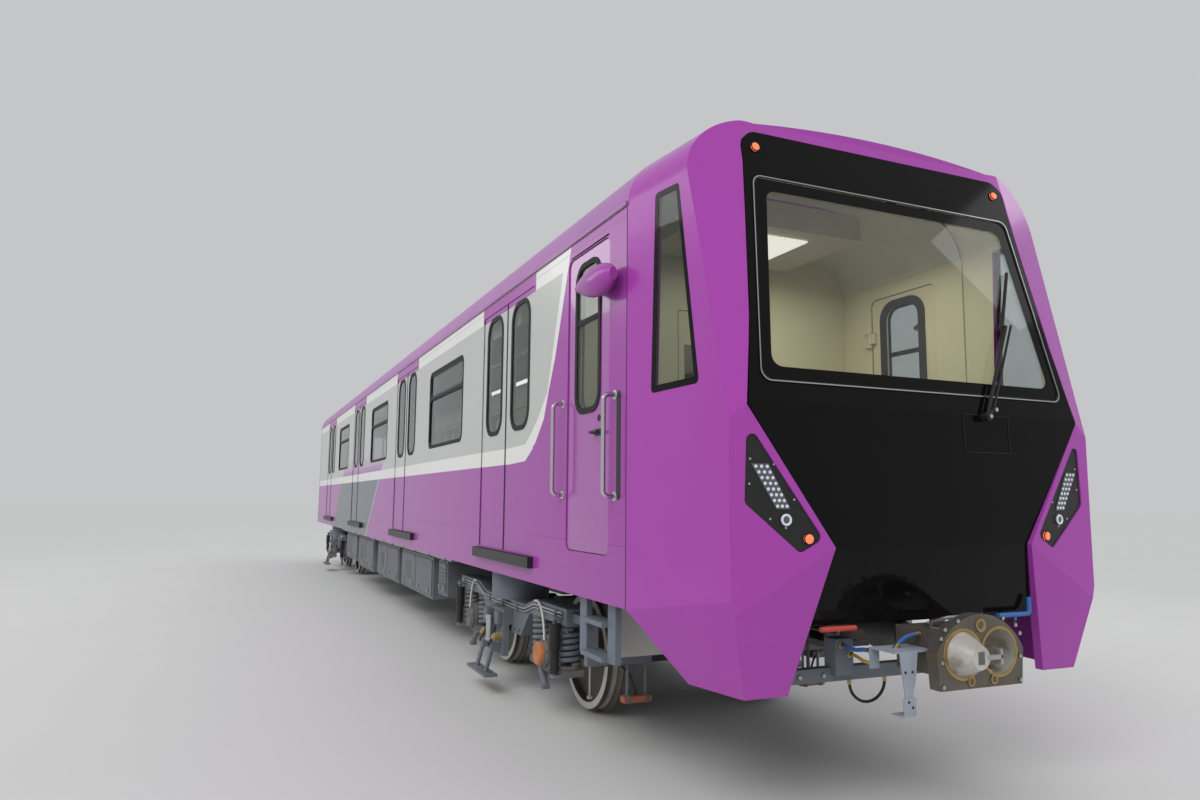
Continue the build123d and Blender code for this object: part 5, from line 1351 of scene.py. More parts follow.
@dataclass
class Bogie:
    """One bogie: axle boxes on coil springs, dampers, brakes, pipes and collector fittings."""

    place: str
    pivot: float
    body: Body
    axles: tuple
    beam_y: float = 1.090
    beam_half: float = 0.085
    cover: float = 0.040
    damper_y: float = 1.220
    damper_x: float = 0.310
    axle_z: float = 0.458
    spring_x: float = 0.265
    spring_foot: float = 0.390
    spring_top: float = 0.7095
    coils: float = 6.0
    coil_radius: float = 0.076
    wire: float = 0.0165
    box_radius: float = 0.140
    seat_radius: float = 0.094
    wing: tuple = ((0.09, -0.115), (0.36, -0.118), (0.37, -0.100), (0.37, -0.072), (0.15, -0.066),
                   (0.11, 0.0))
    conduit: tuple = ((0.020, 0.090), (0.014, 0.150), (-0.002, 0.215), (-0.030, 0.285), (-0.078, 0.345),
                      (-0.140, 0.372), (-0.200, 0.366))
    beam_z: float = 0.795
    beam_joggle: tuple = ((1.42, 0.0), (0.84, 0.0), (0.78, 0.008), (0.60, 0.060), (0.54, 0.066))
    clip_spots: tuple = ((-1.30, 0.79), (-0.95, 0.79), (-0.40, 0.724), (0.0, 0.724), (0.40, 0.724),
                         (0.95, 0.79), (1.30, 0.79))
    collector_face: float = 1.248

    def corners(self) -> Iterator[Corner]:
        """The ends of both axles."""
        for (number, x), side in product(self.axles, SIDES):
            yield Corner(number, x, 1 if x > self.pivot else -1, side)

    def dress(self) -> None:
        """Puts finishes on the CAD nodes and wheels."""
        dress(**{f"{self.place}_bogie_frame": BLUE_STEEL, f"{self.place}_traction_motors": DARK_STEEL,
                 f"{self.place}_collectors": BLUE_STEEL})
        for number, x in self.axles:
            steel = WheelSteel(f"wheel_steel_{number}", IRON, 0.42, metallic=0.5, mottle=0.3,
                               mottle_scale=8.0, dust=0.20, axle=(x, 0.0, self.axle_z))
            dress(**{f"wheelset_{number}": steel})

    def springs(self) -> None:
        """Coil springs between the seats and the side beams."""
        coils = Shape()
        count = int(self.coils * 20)
        for corner, turn in product(self.corners(), (-1, 1)):
            x, y = corner.x + turn * self.spring_x, corner.side * self.beam_y
            helix = []
            for k in range(count + 1):
                angle = 2 * math.pi * self.coils * k / count
                rise = (self.spring_top - self.spring_foot - 0.060) * k / count
                helix.append((x + self.coil_radius * math.cos(angle), y + self.coil_radius * math.sin(angle),
                              self.spring_foot + 0.030 + rise))
            coils.pipe(helix, self.wire, 8)
        coils.done(f"{self.place}_coil_springs", self.body, BLUE_STEEL, "cast_box")

    def boxes(self) -> None:
        """Cast axle boxes with their wings, spring seats and end covers."""
        cast, covers, marked = Shape(), Shape(), Shape()
        width = 2 * self.beam_half
        for number, axle_x, _, side in self.corners():
            inner, outer = side * (self.beam_y - self.beam_half), side * (self.beam_y + self.beam_half)
            cast.lathe((axle_x, inner, self.axle_z), (0, side, 0),
                       [(0.0, 0.062), (0.0, self.box_radius - 0.008), (0.012, self.box_radius),
                        (width - 0.012, self.box_radius), (width, self.box_radius - 0.010),
                        (width, 0.0)])
            for turn in (-1, 1):
                wing = [(turn * u, v) for u, v in self.wing]
                if turn < 0:
                    wing.reverse()
                place = side_place(side, self.beam_y - 0.080) @ Matrix.Translation((axle_x, self.axle_z, 0.0))
                cast.plate(wing, 0.160, place, 0.006)
                x = axle_x + turn * self.spring_x
                y = side * self.beam_y
                for low, high in ((self.spring_foot - 0.002, 0.412), (0.688, self.spring_top)):
                    cast.bar((x, y, low), (x, y, high), self.seat_radius, 24, bevel=0.004)
            if number == 1 and side < 0:
                marked.lathe((axle_x, outer + side * 0.036, self.axle_z), (0, side, 0),
                             [(0.0, 0.0), (0.0, 0.086), (0.028, 0.086), (0.038, 0.078), (0.038, 0.030),
                              (0.035, 0.026), (0.035, 0.0)], 40)
            covers.lathe((axle_x, outer, self.axle_z), (0, side, 0),
                         [(0.0, 0.105), (0.016, 0.104), (0.022, 0.092), (self.cover - 0.004, 0.084),
                          (self.cover, 0.066), (self.cover, 0.030), (self.cover - 0.003, 0.026),
                          (self.cover - 0.003, 0.0)], 40)
            middle = side_place(1, outer + side * 0.014) @ Matrix.Translation((axle_x, self.axle_z, 0.0))
            cast.bolts(circle(middle, 0.098, 6, 0.3)[:-1], (0, side, 0), 0.009, 0.012)
        cast.done(f"{self.place}_axle_box_castings", self.body, CAST_IRON, "cast_box",
                  [f"{self.place}_axle_boxes"])
        covers.done(f"{self.place}_axle_box_covers", self.body, DARK_STEEL, "cast_box")
        if marked.bm.verts:
            marked.done(f"{self.place}_orange_cover", self.body, ORANGE, "cast_box")

    def dampers(self) -> None:
        """Upright telescopic damper beside each axle box, between brackets on the wing and the side beam."""
        tubes, brackets = Shape(), Shape()
        for _, axle_x, outward, side in self.corners():
            x, y = axle_x + outward * self.damper_x, side * self.damper_y
            face = side * (self.beam_y + self.beam_half - 0.010)
            tubes.bar((x, y, 0.375), (x, y, 0.560), 0.034, 20, bevel=0.003)
            tubes.bar((x, y, 0.535), (x, y, 0.720), 0.042, 20, bevel=0.003)
            for low, high in ((0.336, 0.362), (0.744, 0.770)):
                brackets.block((x - 0.036, face, low), (x + 0.036, y + side * 0.022, high), 0.004)
            brackets.bar((x, y, 0.358), (x, y, 0.378), 0.016, 12)
            brackets.bar((x, y, 0.716), (x, y, 0.748), 0.016, 12)
            brackets.lathe((x, y, 0.770), (0, 0, 1),
                           [(0.0, 0.018), (0.012, 0.018), (0.014, 0.010), (0.020, 0.010), (0.020, 0.0)], 6)
        tubes.done(f"{self.place}_damper_tubes", self.body, BLACK_SATIN, "cast_box")
        brackets.done(f"{self.place}_damper_brackets", self.body, BLUE_STEEL, "running_gear_paint")

    def axle_lines(self) -> None:
        """Pale conduit from each outer cover to the frame, guard arm under the box and the grease pipe."""
        conduits, arms, pipes = Shape(), Shape(), Shape()
        for _, axle_x, outward, side in self.corners():
            y = side * (self.beam_y + self.beam_half + 0.016)
            conduits.pipe([(axle_x + outward * u, y, self.axle_z + v) for u, v in self.conduit], 0.0095, 10)
            foot = [(axle_x - outward * 0.150, 0.352), (axle_x - outward * 0.020, 0.215)]
            arms.pipe([(foot[0][0], side * 1.150, foot[0][1]),
                       (foot[0][0] + outward * 0.03, side * 1.160, 0.325),
                       (foot[1][0] - outward * 0.02, side * 1.165, 0.240), (foot[1][0], side * 1.165, 0.215)],
                      0.026, 12)
            arms.block((foot[1][0] - 0.030, side * 1.135, 0.196), (foot[1][0] + 0.030, side * 1.195, 0.232),
                       0.006)
            x = axle_x + outward * 0.450
            pipes.pipe([(x, side * 1.000, 0.712), (x, side * 1.000, 0.480), (x, side * 1.000, 0.215)],
                       0.008, 8)
            pipes.block((x - 0.016, side * 0.984, 0.205), (x + 0.016, side * 1.016, 0.228), 0.003)
        conduits.done(f"{self.place}_axle_conduits", self.body, CABLE_WHITE, "cast_box")
        arms.done(f"{self.place}_guard_arms", self.body, BLUE_STEEL, "running_gear_paint")
        pipes.done(f"{self.place}_grease_pipes", self.body, BRIGHT_STEEL, "running_gear_paint")

    def brakes(self) -> None:
        """Block brake units on the pads inside the wheels' treads."""
        units, shoes = Shape(), Shape()
        for _, axle_x, toward, side in self.corners():
            pad_end, y = self.pivot + toward * 0.540, side * 0.785
            units.block((pad_end - toward * 0.150, y - 0.085, 0.630),
                        (pad_end - toward * 0.005, y + 0.085, 0.800), 0.015)
            units.bar((pad_end - toward * 0.080, y, 0.715), (pad_end + toward * 0.002, y, 0.590), 0.045, 20,
                      bevel=0.004)
            reach = axle_x - toward * 0.440
            shoes.block((reach - toward * 0.030, y - 0.040, 0.420),
                        (reach - toward * 0.003, y + 0.040, 0.590), 0.006)
            units.block((pad_end - toward * 0.010, y - 0.020, 0.520),
                        (reach - toward * 0.028, y + 0.020, 0.560), 0.004)
        units.done(f"{self.place}_brake_units", self.body, DARK_STEEL, "running_gear_paint")
        shoes.done(f"{self.place}_brake_shoes", self.body, CAST_IRON, "cast_box")

    def pipes(self) -> None:
        """Air pipe and cable conduit along each side beam, with clips, and bolts of the frame's plates."""
        lines, clips = Shape(), Shape()
        p = self.pivot
        for side in SIDES:
            y = side * (self.beam_y + self.beam_half + 0.009)
            for z, radius in ((self.beam_z, 0.010), (self.beam_z - 0.025, 0.007)):
                rear = [(p - u, y, z - drop) for u, drop in self.beam_joggle]
                front = [(p + u, y, z - drop) for u, drop in reversed(self.beam_joggle)]
                lines.pipe(rear + front, radius, 8)
            for x, z in self.clip_spots:
                clips.block((p + x - 0.012, side * 1.174, z - 0.035),
                            (p + x + 0.012, side * 1.197, z + 0.018), 0.002)
            spots = [(p + x, side * 1.175, z) for x in (-0.42, -0.30, 0.30, 0.42) for z in (0.54, 0.72)]
            clips.bolts(spots, (0, side, 0), 0.013, 0.010)
        lines.done(f"{self.place}_bogie_pipes", self.body, BRIGHT_STEEL, "running_gear_paint")
        clips.done(f"{self.place}_bogie_clips", self.body, DARK_STEEL, "running_gear_paint")

    def collector_fittings(self) -> None:
        """Ribbed insulators, fuse tube, terminal boxes, leads and wearing strip of each collector."""
        insulators, strips, tubes, boxes, leads = Shape(), Shape(), Shape(), Shape(), Shape()
        face = self.collector_face
        for side in SIDES:
            for dx in (-0.170, 0.170):
                profile = [(0.0, 0.0)]
                for k in range(4):
                    profile += [(0.002 + k * 0.020, 0.036), (0.008 + k * 0.020, 0.036),
                                (0.010 + k * 0.020, 0.024), (0.020 + k * 0.020, 0.024)]
                insulators.lathe((self.pivot + dx, side * face, 0.455), (0, side, 0),
                                 profile + [(0.094, 0.0)], 20)
            x = self.pivot
            tubes.bar((x - 0.010, side * 1.300, 0.400), (x - 0.010, side * 1.300, 0.620), 0.033, 24,
                      bevel=0.003)
            for z in (0.418, 0.602):
                tubes.bar((x - 0.010, side * 1.300, z - 0.012), (x - 0.010, side * 1.300, z + 0.012), 0.039,
                          24, bevel=0.003)
                boxes.block((x - 0.032, side * face, z - 0.016), (x + 0.012, side * 1.285, z + 0.016), 0.004)
            boxes.block((x - 0.200, side * face, 0.535), (x - 0.070, side * 1.310, 0.665), 0.010)
            boxes.block((x + 0.080, side * face, 0.555), (x + 0.190, side * 1.295, 0.660), 0.010)
            boxes.bolts([(x + dx, side * 1.310, z) for dx in (-0.185, -0.085) for z in (0.55, 0.65)],
                        (0, side, 0), 0.006, 0.005)
            for start, end in ((-0.120, -0.135), (0.130, 0.135)):
                leads.pipe([(x + start, side * 1.290, 0.545), (x + start, side * 1.300, 0.500),
                            (x + (start + end) / 2 + 0.03, side * 1.325, 0.445),
                            (x + end, side * 1.345, 0.400), (x + end, side * 1.350, 0.380)], 0.008, 8)
            strips.block((x - 0.275, side * 1.315, 0.1495), (x + 0.275, side * 1.415, 0.1525), 0.001)
            strips.bolts([(x + dx, side * 1.365, 0.172) for dx in (-0.22, 0.0, 0.22)], (0, 0, 1),
                         0.012, 0.008)
        insulators.done(f"{self.place}_insulators", self.body, INSULATOR, "insulator")
        strips.done(f"{self.place}_shoe_strips", self.body, BRASS, "wheel_steel")
        tubes.done(f"{self.place}_fuse_tubes", self.body, SILVER, "insulator")
        boxes.done(f"{self.place}_terminal_boxes", self.body, SHADED_CASE_PAINT, "insulator")
        leads.done(f"{self.place}_collector_leads", self.body, BLACK_RUBBER, "hose_black")

    def build(self) -> None:
        """Makes all of it."""
        self.dress()
        self.springs()
        self.boxes()
        self.dampers()
        self.axle_lines()
        self.brakes()
        self.pipes()
        self.collector_fittings()


@dataclass
class Receiver:
    """Receiver coils in front of the first wheelset, with their brackets, clamps and leads."""

    pivot: float
    reach: float = 1.730
    coil_top: float = 0.258

    def build(self) -> None:
        """Finishes, clamps on the coils, nuts on the rods and a lead along each arm."""
        dress(receiver_brackets=BLUE_STEEL, receiver_coils=COIL_ORANGE)
        clamps, leads = Shape(), Shape()
        x = self.pivot + self.reach
        for side in SIDES:
            for y in (0.675, 0.815):
                clamps.block((x - 0.040, side * (y - 0.014), self.coil_top - 0.047),
                             (x + 0.040, side * (y + 0.014), self.coil_top + 0.006), 0.003)
                for z in (self.coil_top + 0.004, 0.468):
                    clamps.bar((x, side * y, z), (x, side * y, z + 0.012), 0.017, 6, bevel=0.002)
            leads.pipe([(x - 0.012, side * 0.745, self.coil_top - 0.004),
                        (x - 0.012, side * 0.748, self.coil_top + 0.050),
                        (x - 0.016, side * 0.790, 0.400), (x - 0.020, side * 0.860, 0.468),
                        (x - 0.020, side * 0.900, 0.471), (x - 0.020, side * 1.000, 0.471)], 0.008, 8)
        clamps.done("receiver_clamps", Body.FRONT_BOGIE, DARK_STEEL, "running_gear_paint")
        leads.done("receiver_leads", Body.FRONT_BOGIE, BLACK_RUBBER, "hose_black")


@dataclass
class Underfloor:
    """Equipment cases with lids and latches, air tanks, and pipes along the sill."""

    cases: tuple = ((-3.350, 1.500, 1.240, 0.470), (-1.500, 1.700, 1.250, 0.430),
                    (0.600, 1.800, 1.240, 0.450), (2.700, 1.900, 1.250, 0.470), (4.050, 0.420, 1.230, 0.560))
    top: float = 0.940

    def lids(self) -> None:
        """Lids with rounded edges on the outer face of each case, latches, handles and louvres."""
        covers, latches, vents = Shape(), Shape(), Shape()
        for (middle, length, outer, foot), side in product(self.cases, SIDES):
            count = max(1, round(length / 0.8))
            width = (length - 0.06) / count
            for k in range(count):
                x = SALOON_MID + middle - length / 2 + 0.03 + (k + 0.5) * width
                z = (foot + self.top) / 2
                outline = rounded(width - 0.03, self.top - foot - 0.07, 0.025, 5, (x, z))
                covers.plate(outline, 0.012, side_place(side, outer), 0.003)
                face = side * (outer + 0.012)
                for latch_x in (x - 0.3 * width, x + 0.3 * width):
                    latches.block((latch_x - 0.018, face, foot + 0.060),
                                  (latch_x + 0.018, face + side * 0.014, foot + 0.115), 0.004)
                    latches.bar((latch_x - 0.026, face, self.top - 0.050),
                                (latch_x + 0.026, face, self.top - 0.050), 0.009, 12)
                for low in (z + (n - 2.5) * 0.038 for n in range(6 if k % 2 == 0 else 0)):
                    vents.block((x - 0.14, face, low - 0.010), (x + 0.14, face + side * 0.007, low + 0.004),
                                0.003)
        covers.done("case_lids", Body.CAR, SHADED_CASE_PAINT, "case_paint")
        latches.done("case_latches", Body.CAR, BRIGHT_STEEL, "case_paint")
        vents.done("case_louvres", Body.CAR, DARK_STEEL, "case_paint")

    def lines(self) -> None:
        """Conduits and pipes under the sill between the bogies, with clips, and the tanks' bands."""
        pipes, clips = Shape(), Shape()
        low, high = SALOON_MID - 4.6, SALOON_MID + 4.6
        for side in SIDES:
            for y, z, radius in ((1.262, 0.972, 0.020), (1.218, 0.968, 0.014)):
                pipes.bar((low, side * y, z), (high, side * y, z), radius, 12)
            for k in range(12):
                x = low + 0.25 + k * 0.79
                clips.block((x - 0.015, side * 1.196, 0.945), (x + 0.015, side * 1.285, 1.001), 0.003)
        for x in (-2.400, 1.650):
            for y in (-0.18, 0.18):
                spot = (SALOON_MID + x, y - 0.012, 0.700)
                pipes.lathe(spot, (0, 1, 0), [(0.0, 0.1395), (0.0, 0.144), (0.024, 0.144), (0.024, 0.1395)],
                            32)
        pipes.done("underfloor_pipes", Body.CAR, BRIGHT_STEEL, "running_gear_paint")
        clips.done("underfloor_clips", Body.CAR, DARK_STEEL, "running_gear_paint")

    def build(self) -> None:
        """Makes all of it."""
        dress(equipment_cases=SHADED_CASE_PAINT, air_tanks=DARK_STEEL)
        self.lids()
        self.lines()


@dataclass
class Coupler:
    """Trim of one automatic coupler; the rear one is turned round."""

    place: str
    body: Body
    end: int
    face_x: float = 9.860
    axis_z: float = 0.880
    cone_y: float = -0.120
    rim: tuple = ((0.262, 0.962), (0.235, 1.003), (0.150, 1.040), (-0.150, 1.040), (-0.235, 1.003),
                  (-0.262, 0.962), (0.255, 0.735), (-0.255, 0.735), (0.258, 0.850), (-0.258, 0.850))
    handle: tuple = ((9.640, 0.150, 0.984), (9.640, 0.150, 1.010), (9.660, 0.146, 1.030),
                     (9.760, 0.120, 1.046), (9.800, 0.060, 1.048), (9.800, -0.060, 1.048),
                     (9.780, -0.120, 1.046), (9.700, -0.150, 1.020), (9.680, -0.150, 0.984))

    def spot(self, x: float, y: float, z: float) -> tuple:
        """A point of the front coupler, turned round for the rear one."""
        return (self.end * x, self.end * y, z)

    def face_trim(self, metal: Shape, brass: Shape, dark: Shape) -> None:
        """Bolts round the face, rings of the cone and the cup, and air ports."""
        out = (self.end, 0, 0)
        metal.bolts([self.spot(self.face_x, y, z) for y, z in self.rim], out, 0.011, 0.008)
        for y, ring in ((-self.cone_y, [(0.0, 0.124), (0.003, 0.123), (0.003, 0.110), (0.0, 0.1085)]),
                        (self.cone_y, [(0.0, 0.126), (0.004, 0.124), (0.004, 0.1085), (0.0, 0.1085)])):
            brass.lathe(self.spot(self.face_x, y, self.axis_z), out, ring, 40, True)
        for y, z, radius in ((0.0, 1.012, 0.034), (-0.075, 0.750, 0.024), (0.075, 0.750, 0.024)):
            brass.lathe(self.spot(self.face_x, y, z), out,
                        [(0.0, radius), (0.006, radius * 0.96), (0.006, radius * 0.62), (0.001, radius * 0.5),
                         (0.001, 0.0)], 28)
            dark.lathe(self.spot(self.face_x, y, z), out,
                       [(0.0, radius * 0.5), (0.003, radius * 0.45), (0.003, 0.0)], 20)

    def lever(self, metal: Shape) -> None:
        """Uncoupling handle over the head, with its plates."""
        metal.pipe([self.spot(*place) for place in self.handle], 0.010, 10)
        metal.block(self.spot(9.560, 0.236, 0.820), self.spot(9.780, 0.246, 0.940), 0.003)
        metal.block(self.spot(9.600, -0.120, 0.985), self.spot(9.740, 0.120, 0.995), 0.003)
        metal.bolts([self.spot(x, y, 0.995) for x in (9.62, 9.72) for y in (-0.095, 0.095)], (0, 0, 1),
                    0.011, 0.008)

    def cone_and_eye(self, metal: Shape, dark: Shape) -> None:
        """Wings and slot at the cone's tip, and the collar of the eye."""
        metal.block(self.spot(9.905, -0.080, 0.868), self.spot(9.972, 0.020, 0.892), 0.004)
        metal.block(self.spot(9.930, 0.004, 0.842), self.spot(9.972, 0.020, 0.918), 0.004)
        dark.block(self.spot(9.9695, self.cone_y - 0.020, self.axis_z - 0.030),
                   self.spot(9.9710, self.cone_y + 0.020, self.axis_z + 0.030))
        dark.lathe(self.spot(9.120, 0.0, self.axis_z), (self.end, 0, 0),
                   [(0.0, 0.0705), (0.0, 0.086), (0.030, 0.088), (0.200, 0.088), (0.230, 0.080),
                    (0.230, 0.0705)], 36, True)

    def build(self) -> None:
        """Makes all of it."""
        dress(**{f"{self.place}_coupler": COUPLER_METAL})
        metal, brass, dark = Shape(), Shape(), Shape()
        self.face_trim(metal, brass, dark)
        self.lever(metal)
        self.cone_and_eye(metal, dark)
        metal.done(f"{self.place}_coupler_fittings", self.body, BRIGHT_STEEL, "coupler_iron")
        brass.done(f"{self.place}_coupler_rings", self.body, BRASS, "coupler_iron")
        dark.done(f"{self.place}_coupler_collar", self.body, DARK_STEEL, "coupler_iron")


@dataclass
class Hose:
    """A hose along a given route, with a crimped ferrule at each end."""

    name: str
    route: tuple
    diameter: float
    finish: Finish
    slot: str
    start_body: Body
    end_body: Body

    def line(self) -> list[Vector]:
        """Points of the smooth line through the route.

        Returns:
            Points read from a NURBS spline whose control points are the route's.
        """
        curve = bpy.data.curves.new(f"{self.name}_route", "CURVE")
        curve.dimensions = "3D"
        curve.resolution_u = 12
        spline = curve.splines.new("NURBS")
        spline.points.add(len(self.route) - 1)
        for spot, (x, y, z) in zip(spline.points, self.route):
            spot.co = (ahead(x), y, z, 1.0)
        spline.order_u = 3
        spline.use_endpoint_u = True
        guide = bpy.data.objects.new(f"{self.name}_route", curve)
        mesh = bpy.data.meshes.new_from_object(guide)
        points = [vert.co.copy() for vert in mesh.vertices]
        bpy.data.meshes.remove(mesh)
        bpy.data.objects.remove(guide)
        bpy.data.curves.remove(curve)
        return points

    def ferrule(self, spot: Vector, inward: Vector) -> Shape:
        """Crimped sleeve and nut at one end."""
        radius = self.diameter / 2
        return Shape().lathe(spot, inward, [
            (0.0, radius * 1.05), (0.0, radius * 1.5), (0.008, radius * 1.5), (0.010, radius * 1.25),
            (0.014, radius * 1.3), (0.026, radius * 1.3), (0.030, radius * 1.12), (0.030, radius)], 18)

    def build(self) -> None:
        points = self.line()
        bends = self.start_body != self.end_body
        piece = Shape().pipe(points, self.diameter / 2, 14).done(
            f"{self.name}_line", None if bends else self.start_body, self.finish, self.slot, [self.name])
        if bends:
            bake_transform(piece)
        ends = ((points[0], points[1] - points[0], self.start_body, "start"),
                (points[-1], points[-2] - points[-1], self.end_body, "end"))
        rings = [self.ferrule(spot, inward).done(f"{self.name}_{which}_ferrule", body, BRASS, self.slot)
                 for spot, inward, body, which in ends]


HOSES = (
    Hose("blue_hose", ((0.740, -0.462, 0.868), (0.792, -0.462, 0.868), (0.848, -0.458, 0.860),
                       (0.908, -0.452, 0.875), (0.965, -0.452, 0.875)), 0.022, HOSE_BLUE, "hose_blue",
         Body.CAR, Body.FRONT_COUPLER),
    Hose("yellow_hose", ((0.740, -0.410, 0.822), (0.792, -0.410, 0.822), (0.848, -0.420, 0.808),
                         (0.908, -0.440, 0.811), (0.965, -0.440, 0.811)), 0.018, HOSE_YELLOW, "hose_yellow",
         Body.CAR, Body.FRONT_COUPLER),
    Hose("jumper_hose", ((1.040, -0.375, 0.893), (1.042, -0.360, 0.916), (1.046, -0.339, 0.936),
                         (1.052, -0.310, 0.952), (1.059, -0.273, 0.961), (1.059, -0.235, 0.961)), 0.020,
         HOSE_BLUE, "hose_blue", Body.FRONT_COUPLER, Body.FRONT_COUPLER),
    Hose("black_hose", ((0.670, -0.357, 0.680), (0.670, -0.357, 0.640), (0.670, -0.339, 0.600),
                        (0.670, -0.305, 0.569), (0.670, -0.261, 0.552), (0.670, -0.213, 0.552),
                        (0.670, -0.169, 0.569), (0.670, -0.135, 0.600), (0.670, -0.117, 0.640),
                        (0.670, -0.117, 0.680)), 0.016, BLACK_RUBBER, "hose_black", Body.CAR, Body.CAR),
)


@dataclass
class FrontEnd:
    """Beam, cock handles and bracket under the mask."""

    bolts_y: tuple = (-0.70, -0.55, 0.20, 0.40, 0.70)
    plate_holes: tuple = ((9.7835, -0.397, 0.662), (9.7835, -0.373, 0.636), (9.7803, -0.410, 0.800),
                          (9.7803, -0.366, 0.800))

    def build(self) -> None:
        """Finishes, valve caps and bolts."""
        dress(front_beam=BLUE_STEEL, end_cock_handles=COCK_PAINT, hose_bracket=BRACKET_PAINT)
        foot, holes, caps = Shape(), Shape(), Shape()
        foot.block((9.705, -0.441, 0.5925), (9.783, -0.352, 0.5995), 0.002)
        foot.block((9.772, -0.424, 0.5985), (9.7835, -0.352, 0.680), 0.002)
        for spot in self.plate_holes:
            holes.lathe(spot, (1, 0, 0), [(0.0, 0.0075), (0.0006, 0.007), (0.0006, 0.0)], 16)
        foot.done("bracket_foot", Body.FRONT_COUPLER, BRACKET_PAINT, "coupler_iron")
        holes.done("bracket_holes", Body.FRONT_COUPLER, BLACK_RUBBER, "coupler_iron")
        for hose in HOSES[:2]:
            x, y, z = hose.route[0]
            caps.lathe((ahead(x), y, z), (1, 0, 0), [(0.0, 0.020), (0.006, 0.019), (0.006, 0.012)], 20)
        caps.bolts([(ahead(0.700), y, 0.715) for y in self.bolts_y], (1, 0, 0), 0.013, 0.010)
        caps.done("beam_fittings", Body.CAR, BRIGHT_STEEL, "running_gear_paint")


@dataclass
class Puff:
    """Blows closed fabric forms up as cloth, flat where they rest."""

    cap: float = 0.008
    pressure: float = 4.0
    frames: int = 20

    def remesh(self, piece: bpy.types.Object, voxel: float) -> None:
        """Gives the piece an even mesh of small squares."""
        even = piece.modifiers.new("even", "REMESH")
        even.mode = "VOXEL"
        even.voxel_size = voxel
        graph = bpy.context.evaluated_depsgraph_get()
        piece.data = bpy.data.meshes.new_from_object(piece.evaluated_get(graph))
        piece.modifiers.clear()

    def swell(self, shape: "Shape", rest_z: float, voxel: float = 0.0) -> None:
        """Swells a shape in place.

        Args:
            shape: The closed form.
            rest_z: Height of the surface that it rests on; its lowest points stay there.
            voxel: Side of the even mesh's squares, or 0 to keep the mesh.
        """
        piece = placed("swelling", bpy.data.meshes.new("swelling"))
        shape.bm.to_mesh(piece.data)
        if voxel:
            self.remesh(piece, voxel)
        start = [vert.co.copy() for vert in piece.data.vertices]
        rest = piece.vertex_groups.new(name="rest")
        rest.add([k for k, spot in enumerate(start) if spot.z < rest_z + 0.003], 1.0, "ADD")
        cloth = piece.modifiers.new("cloth", "CLOTH")
        cloth.settings.vertex_group_mass = "rest"
        cloth.settings.use_pressure = True
        cloth.settings.uniform_pressure_force = self.pressure
        cloth.settings.effector_weights.gravity = 0.0
        cloth.collision_settings.use_collision = False
        cloth.point_cache.frame_start, cloth.point_cache.frame_end = 1, self.frames
        for frame_number in range(1, self.frames + 1):
            bpy.context.scene.frame_set(frame_number)
        blown = piece.evaluated_get(bpy.context.evaluated_depsgraph_get())
        ends = [vert.co.copy() for vert in blown.data.vertices]
        bpy.context.scene.frame_set(1)
        piece.modifiers.clear()
        for vert, first, last in zip(piece.data.vertices, start, ends):
            move = last - first
            if move.length > self.cap:
                move *= self.cap / move.length
            vert.co = first + move
            vert.co.z = max(vert.co.z, rest_z)
        shape.bm.clear()
        shape.bm.from_mesh(piece.data)
        bpy.data.objects.remove(piece)


@dataclass
class Cushion:
    """A stuffed pad, blown up as cloth, with sewn channels across it."""

    name: str
    low: Point
    high: Point
    channels: tuple
    finish: Finish
    body: Body = Body.CAR
    crown: float = 0.010
    tilt: float = 0.0
    fill: float = 0.7
    voxel: float = 0.0
    smaller: float = 0.005
    cuts: int = 15

    def form(self) -> "Shape":
        """Makes the form from a dense box pulled to a superellipsoid, swells it and presses its seams in."""
        shape = Shape()
        bmesh.ops.create_cube(shape.bm, size=2.0)
        bmesh.ops.subdivide_edges(shape.bm, edges=shape.bm.edges[:], cuts=self.cuts, use_grid_fill=True)
        middle = (Vector(self.low) + Vector(self.high)) / 2
        half = (Vector(self.high) - Vector(self.low)) / 2 - Vector((self.smaller,) * 3)
        middle.z -= self.smaller
        power = 7.0
        for vert in shape.bm.verts:
            unit = vert.co.copy()
            unit /= sum(abs(c) ** power for c in unit) ** (1 / power)
            spot = Vector([middle[i] + unit[i] * half[i] for i in range(3)])
            spot.z += self.crown * (1 - unit.x ** 2) * (1 - unit.y ** 2) * max(unit.z, 0.0)
            vert.co = spot
        Puff().swell(shape, self.low[2], self.voxel)
        if self.voxel:
            bmesh.ops.subdivide_edges(shape.bm, edges=shape.bm.edges[:], cuts=1, use_grid_fill=True,
                                      smooth=1.0)
        long_axis = max(range(3), key=lambda i: half[i])
        for vert in shape.bm.verts:
            over = max(0.0, min(1.0, (vert.co.z - middle.z) / half.z))
            for channel in self.channels:
                gap = vert.co[long_axis] - channel
                vert.co.z -= 0.010 * math.exp(-(gap / 0.012) ** 2) * over
            vert.co = Vector([min(max(vert.co[i], self.low[i]),
                                  self.high[i] + (self.crown if i == 2 else 0.0))
                              for i in range(3)])
        return shape

    def build(self, replaces: Sequence[str] = ()) -> bpy.types.Object:
        """Makes the pad, leaned back by its tilt."""
        shape = self.form()
        if self.tilt:
            foot = Vector(((self.low[0] + self.high[0]) / 2, (self.low[1] + self.high[1]) / 2, self.low[2]))
            turn = Matrix.Translation(foot) @ Matrix.Rotation(self.tilt, 4, "Y") @ Matrix.Translation(-foot)
            bmesh.ops.transform(shape.bm, matrix=turn, verts=shape.bm.verts)
        piece = shape.done(self.name, self.body, self.finish, "seat_fabric", replaces, angle=80.0)
        return piece


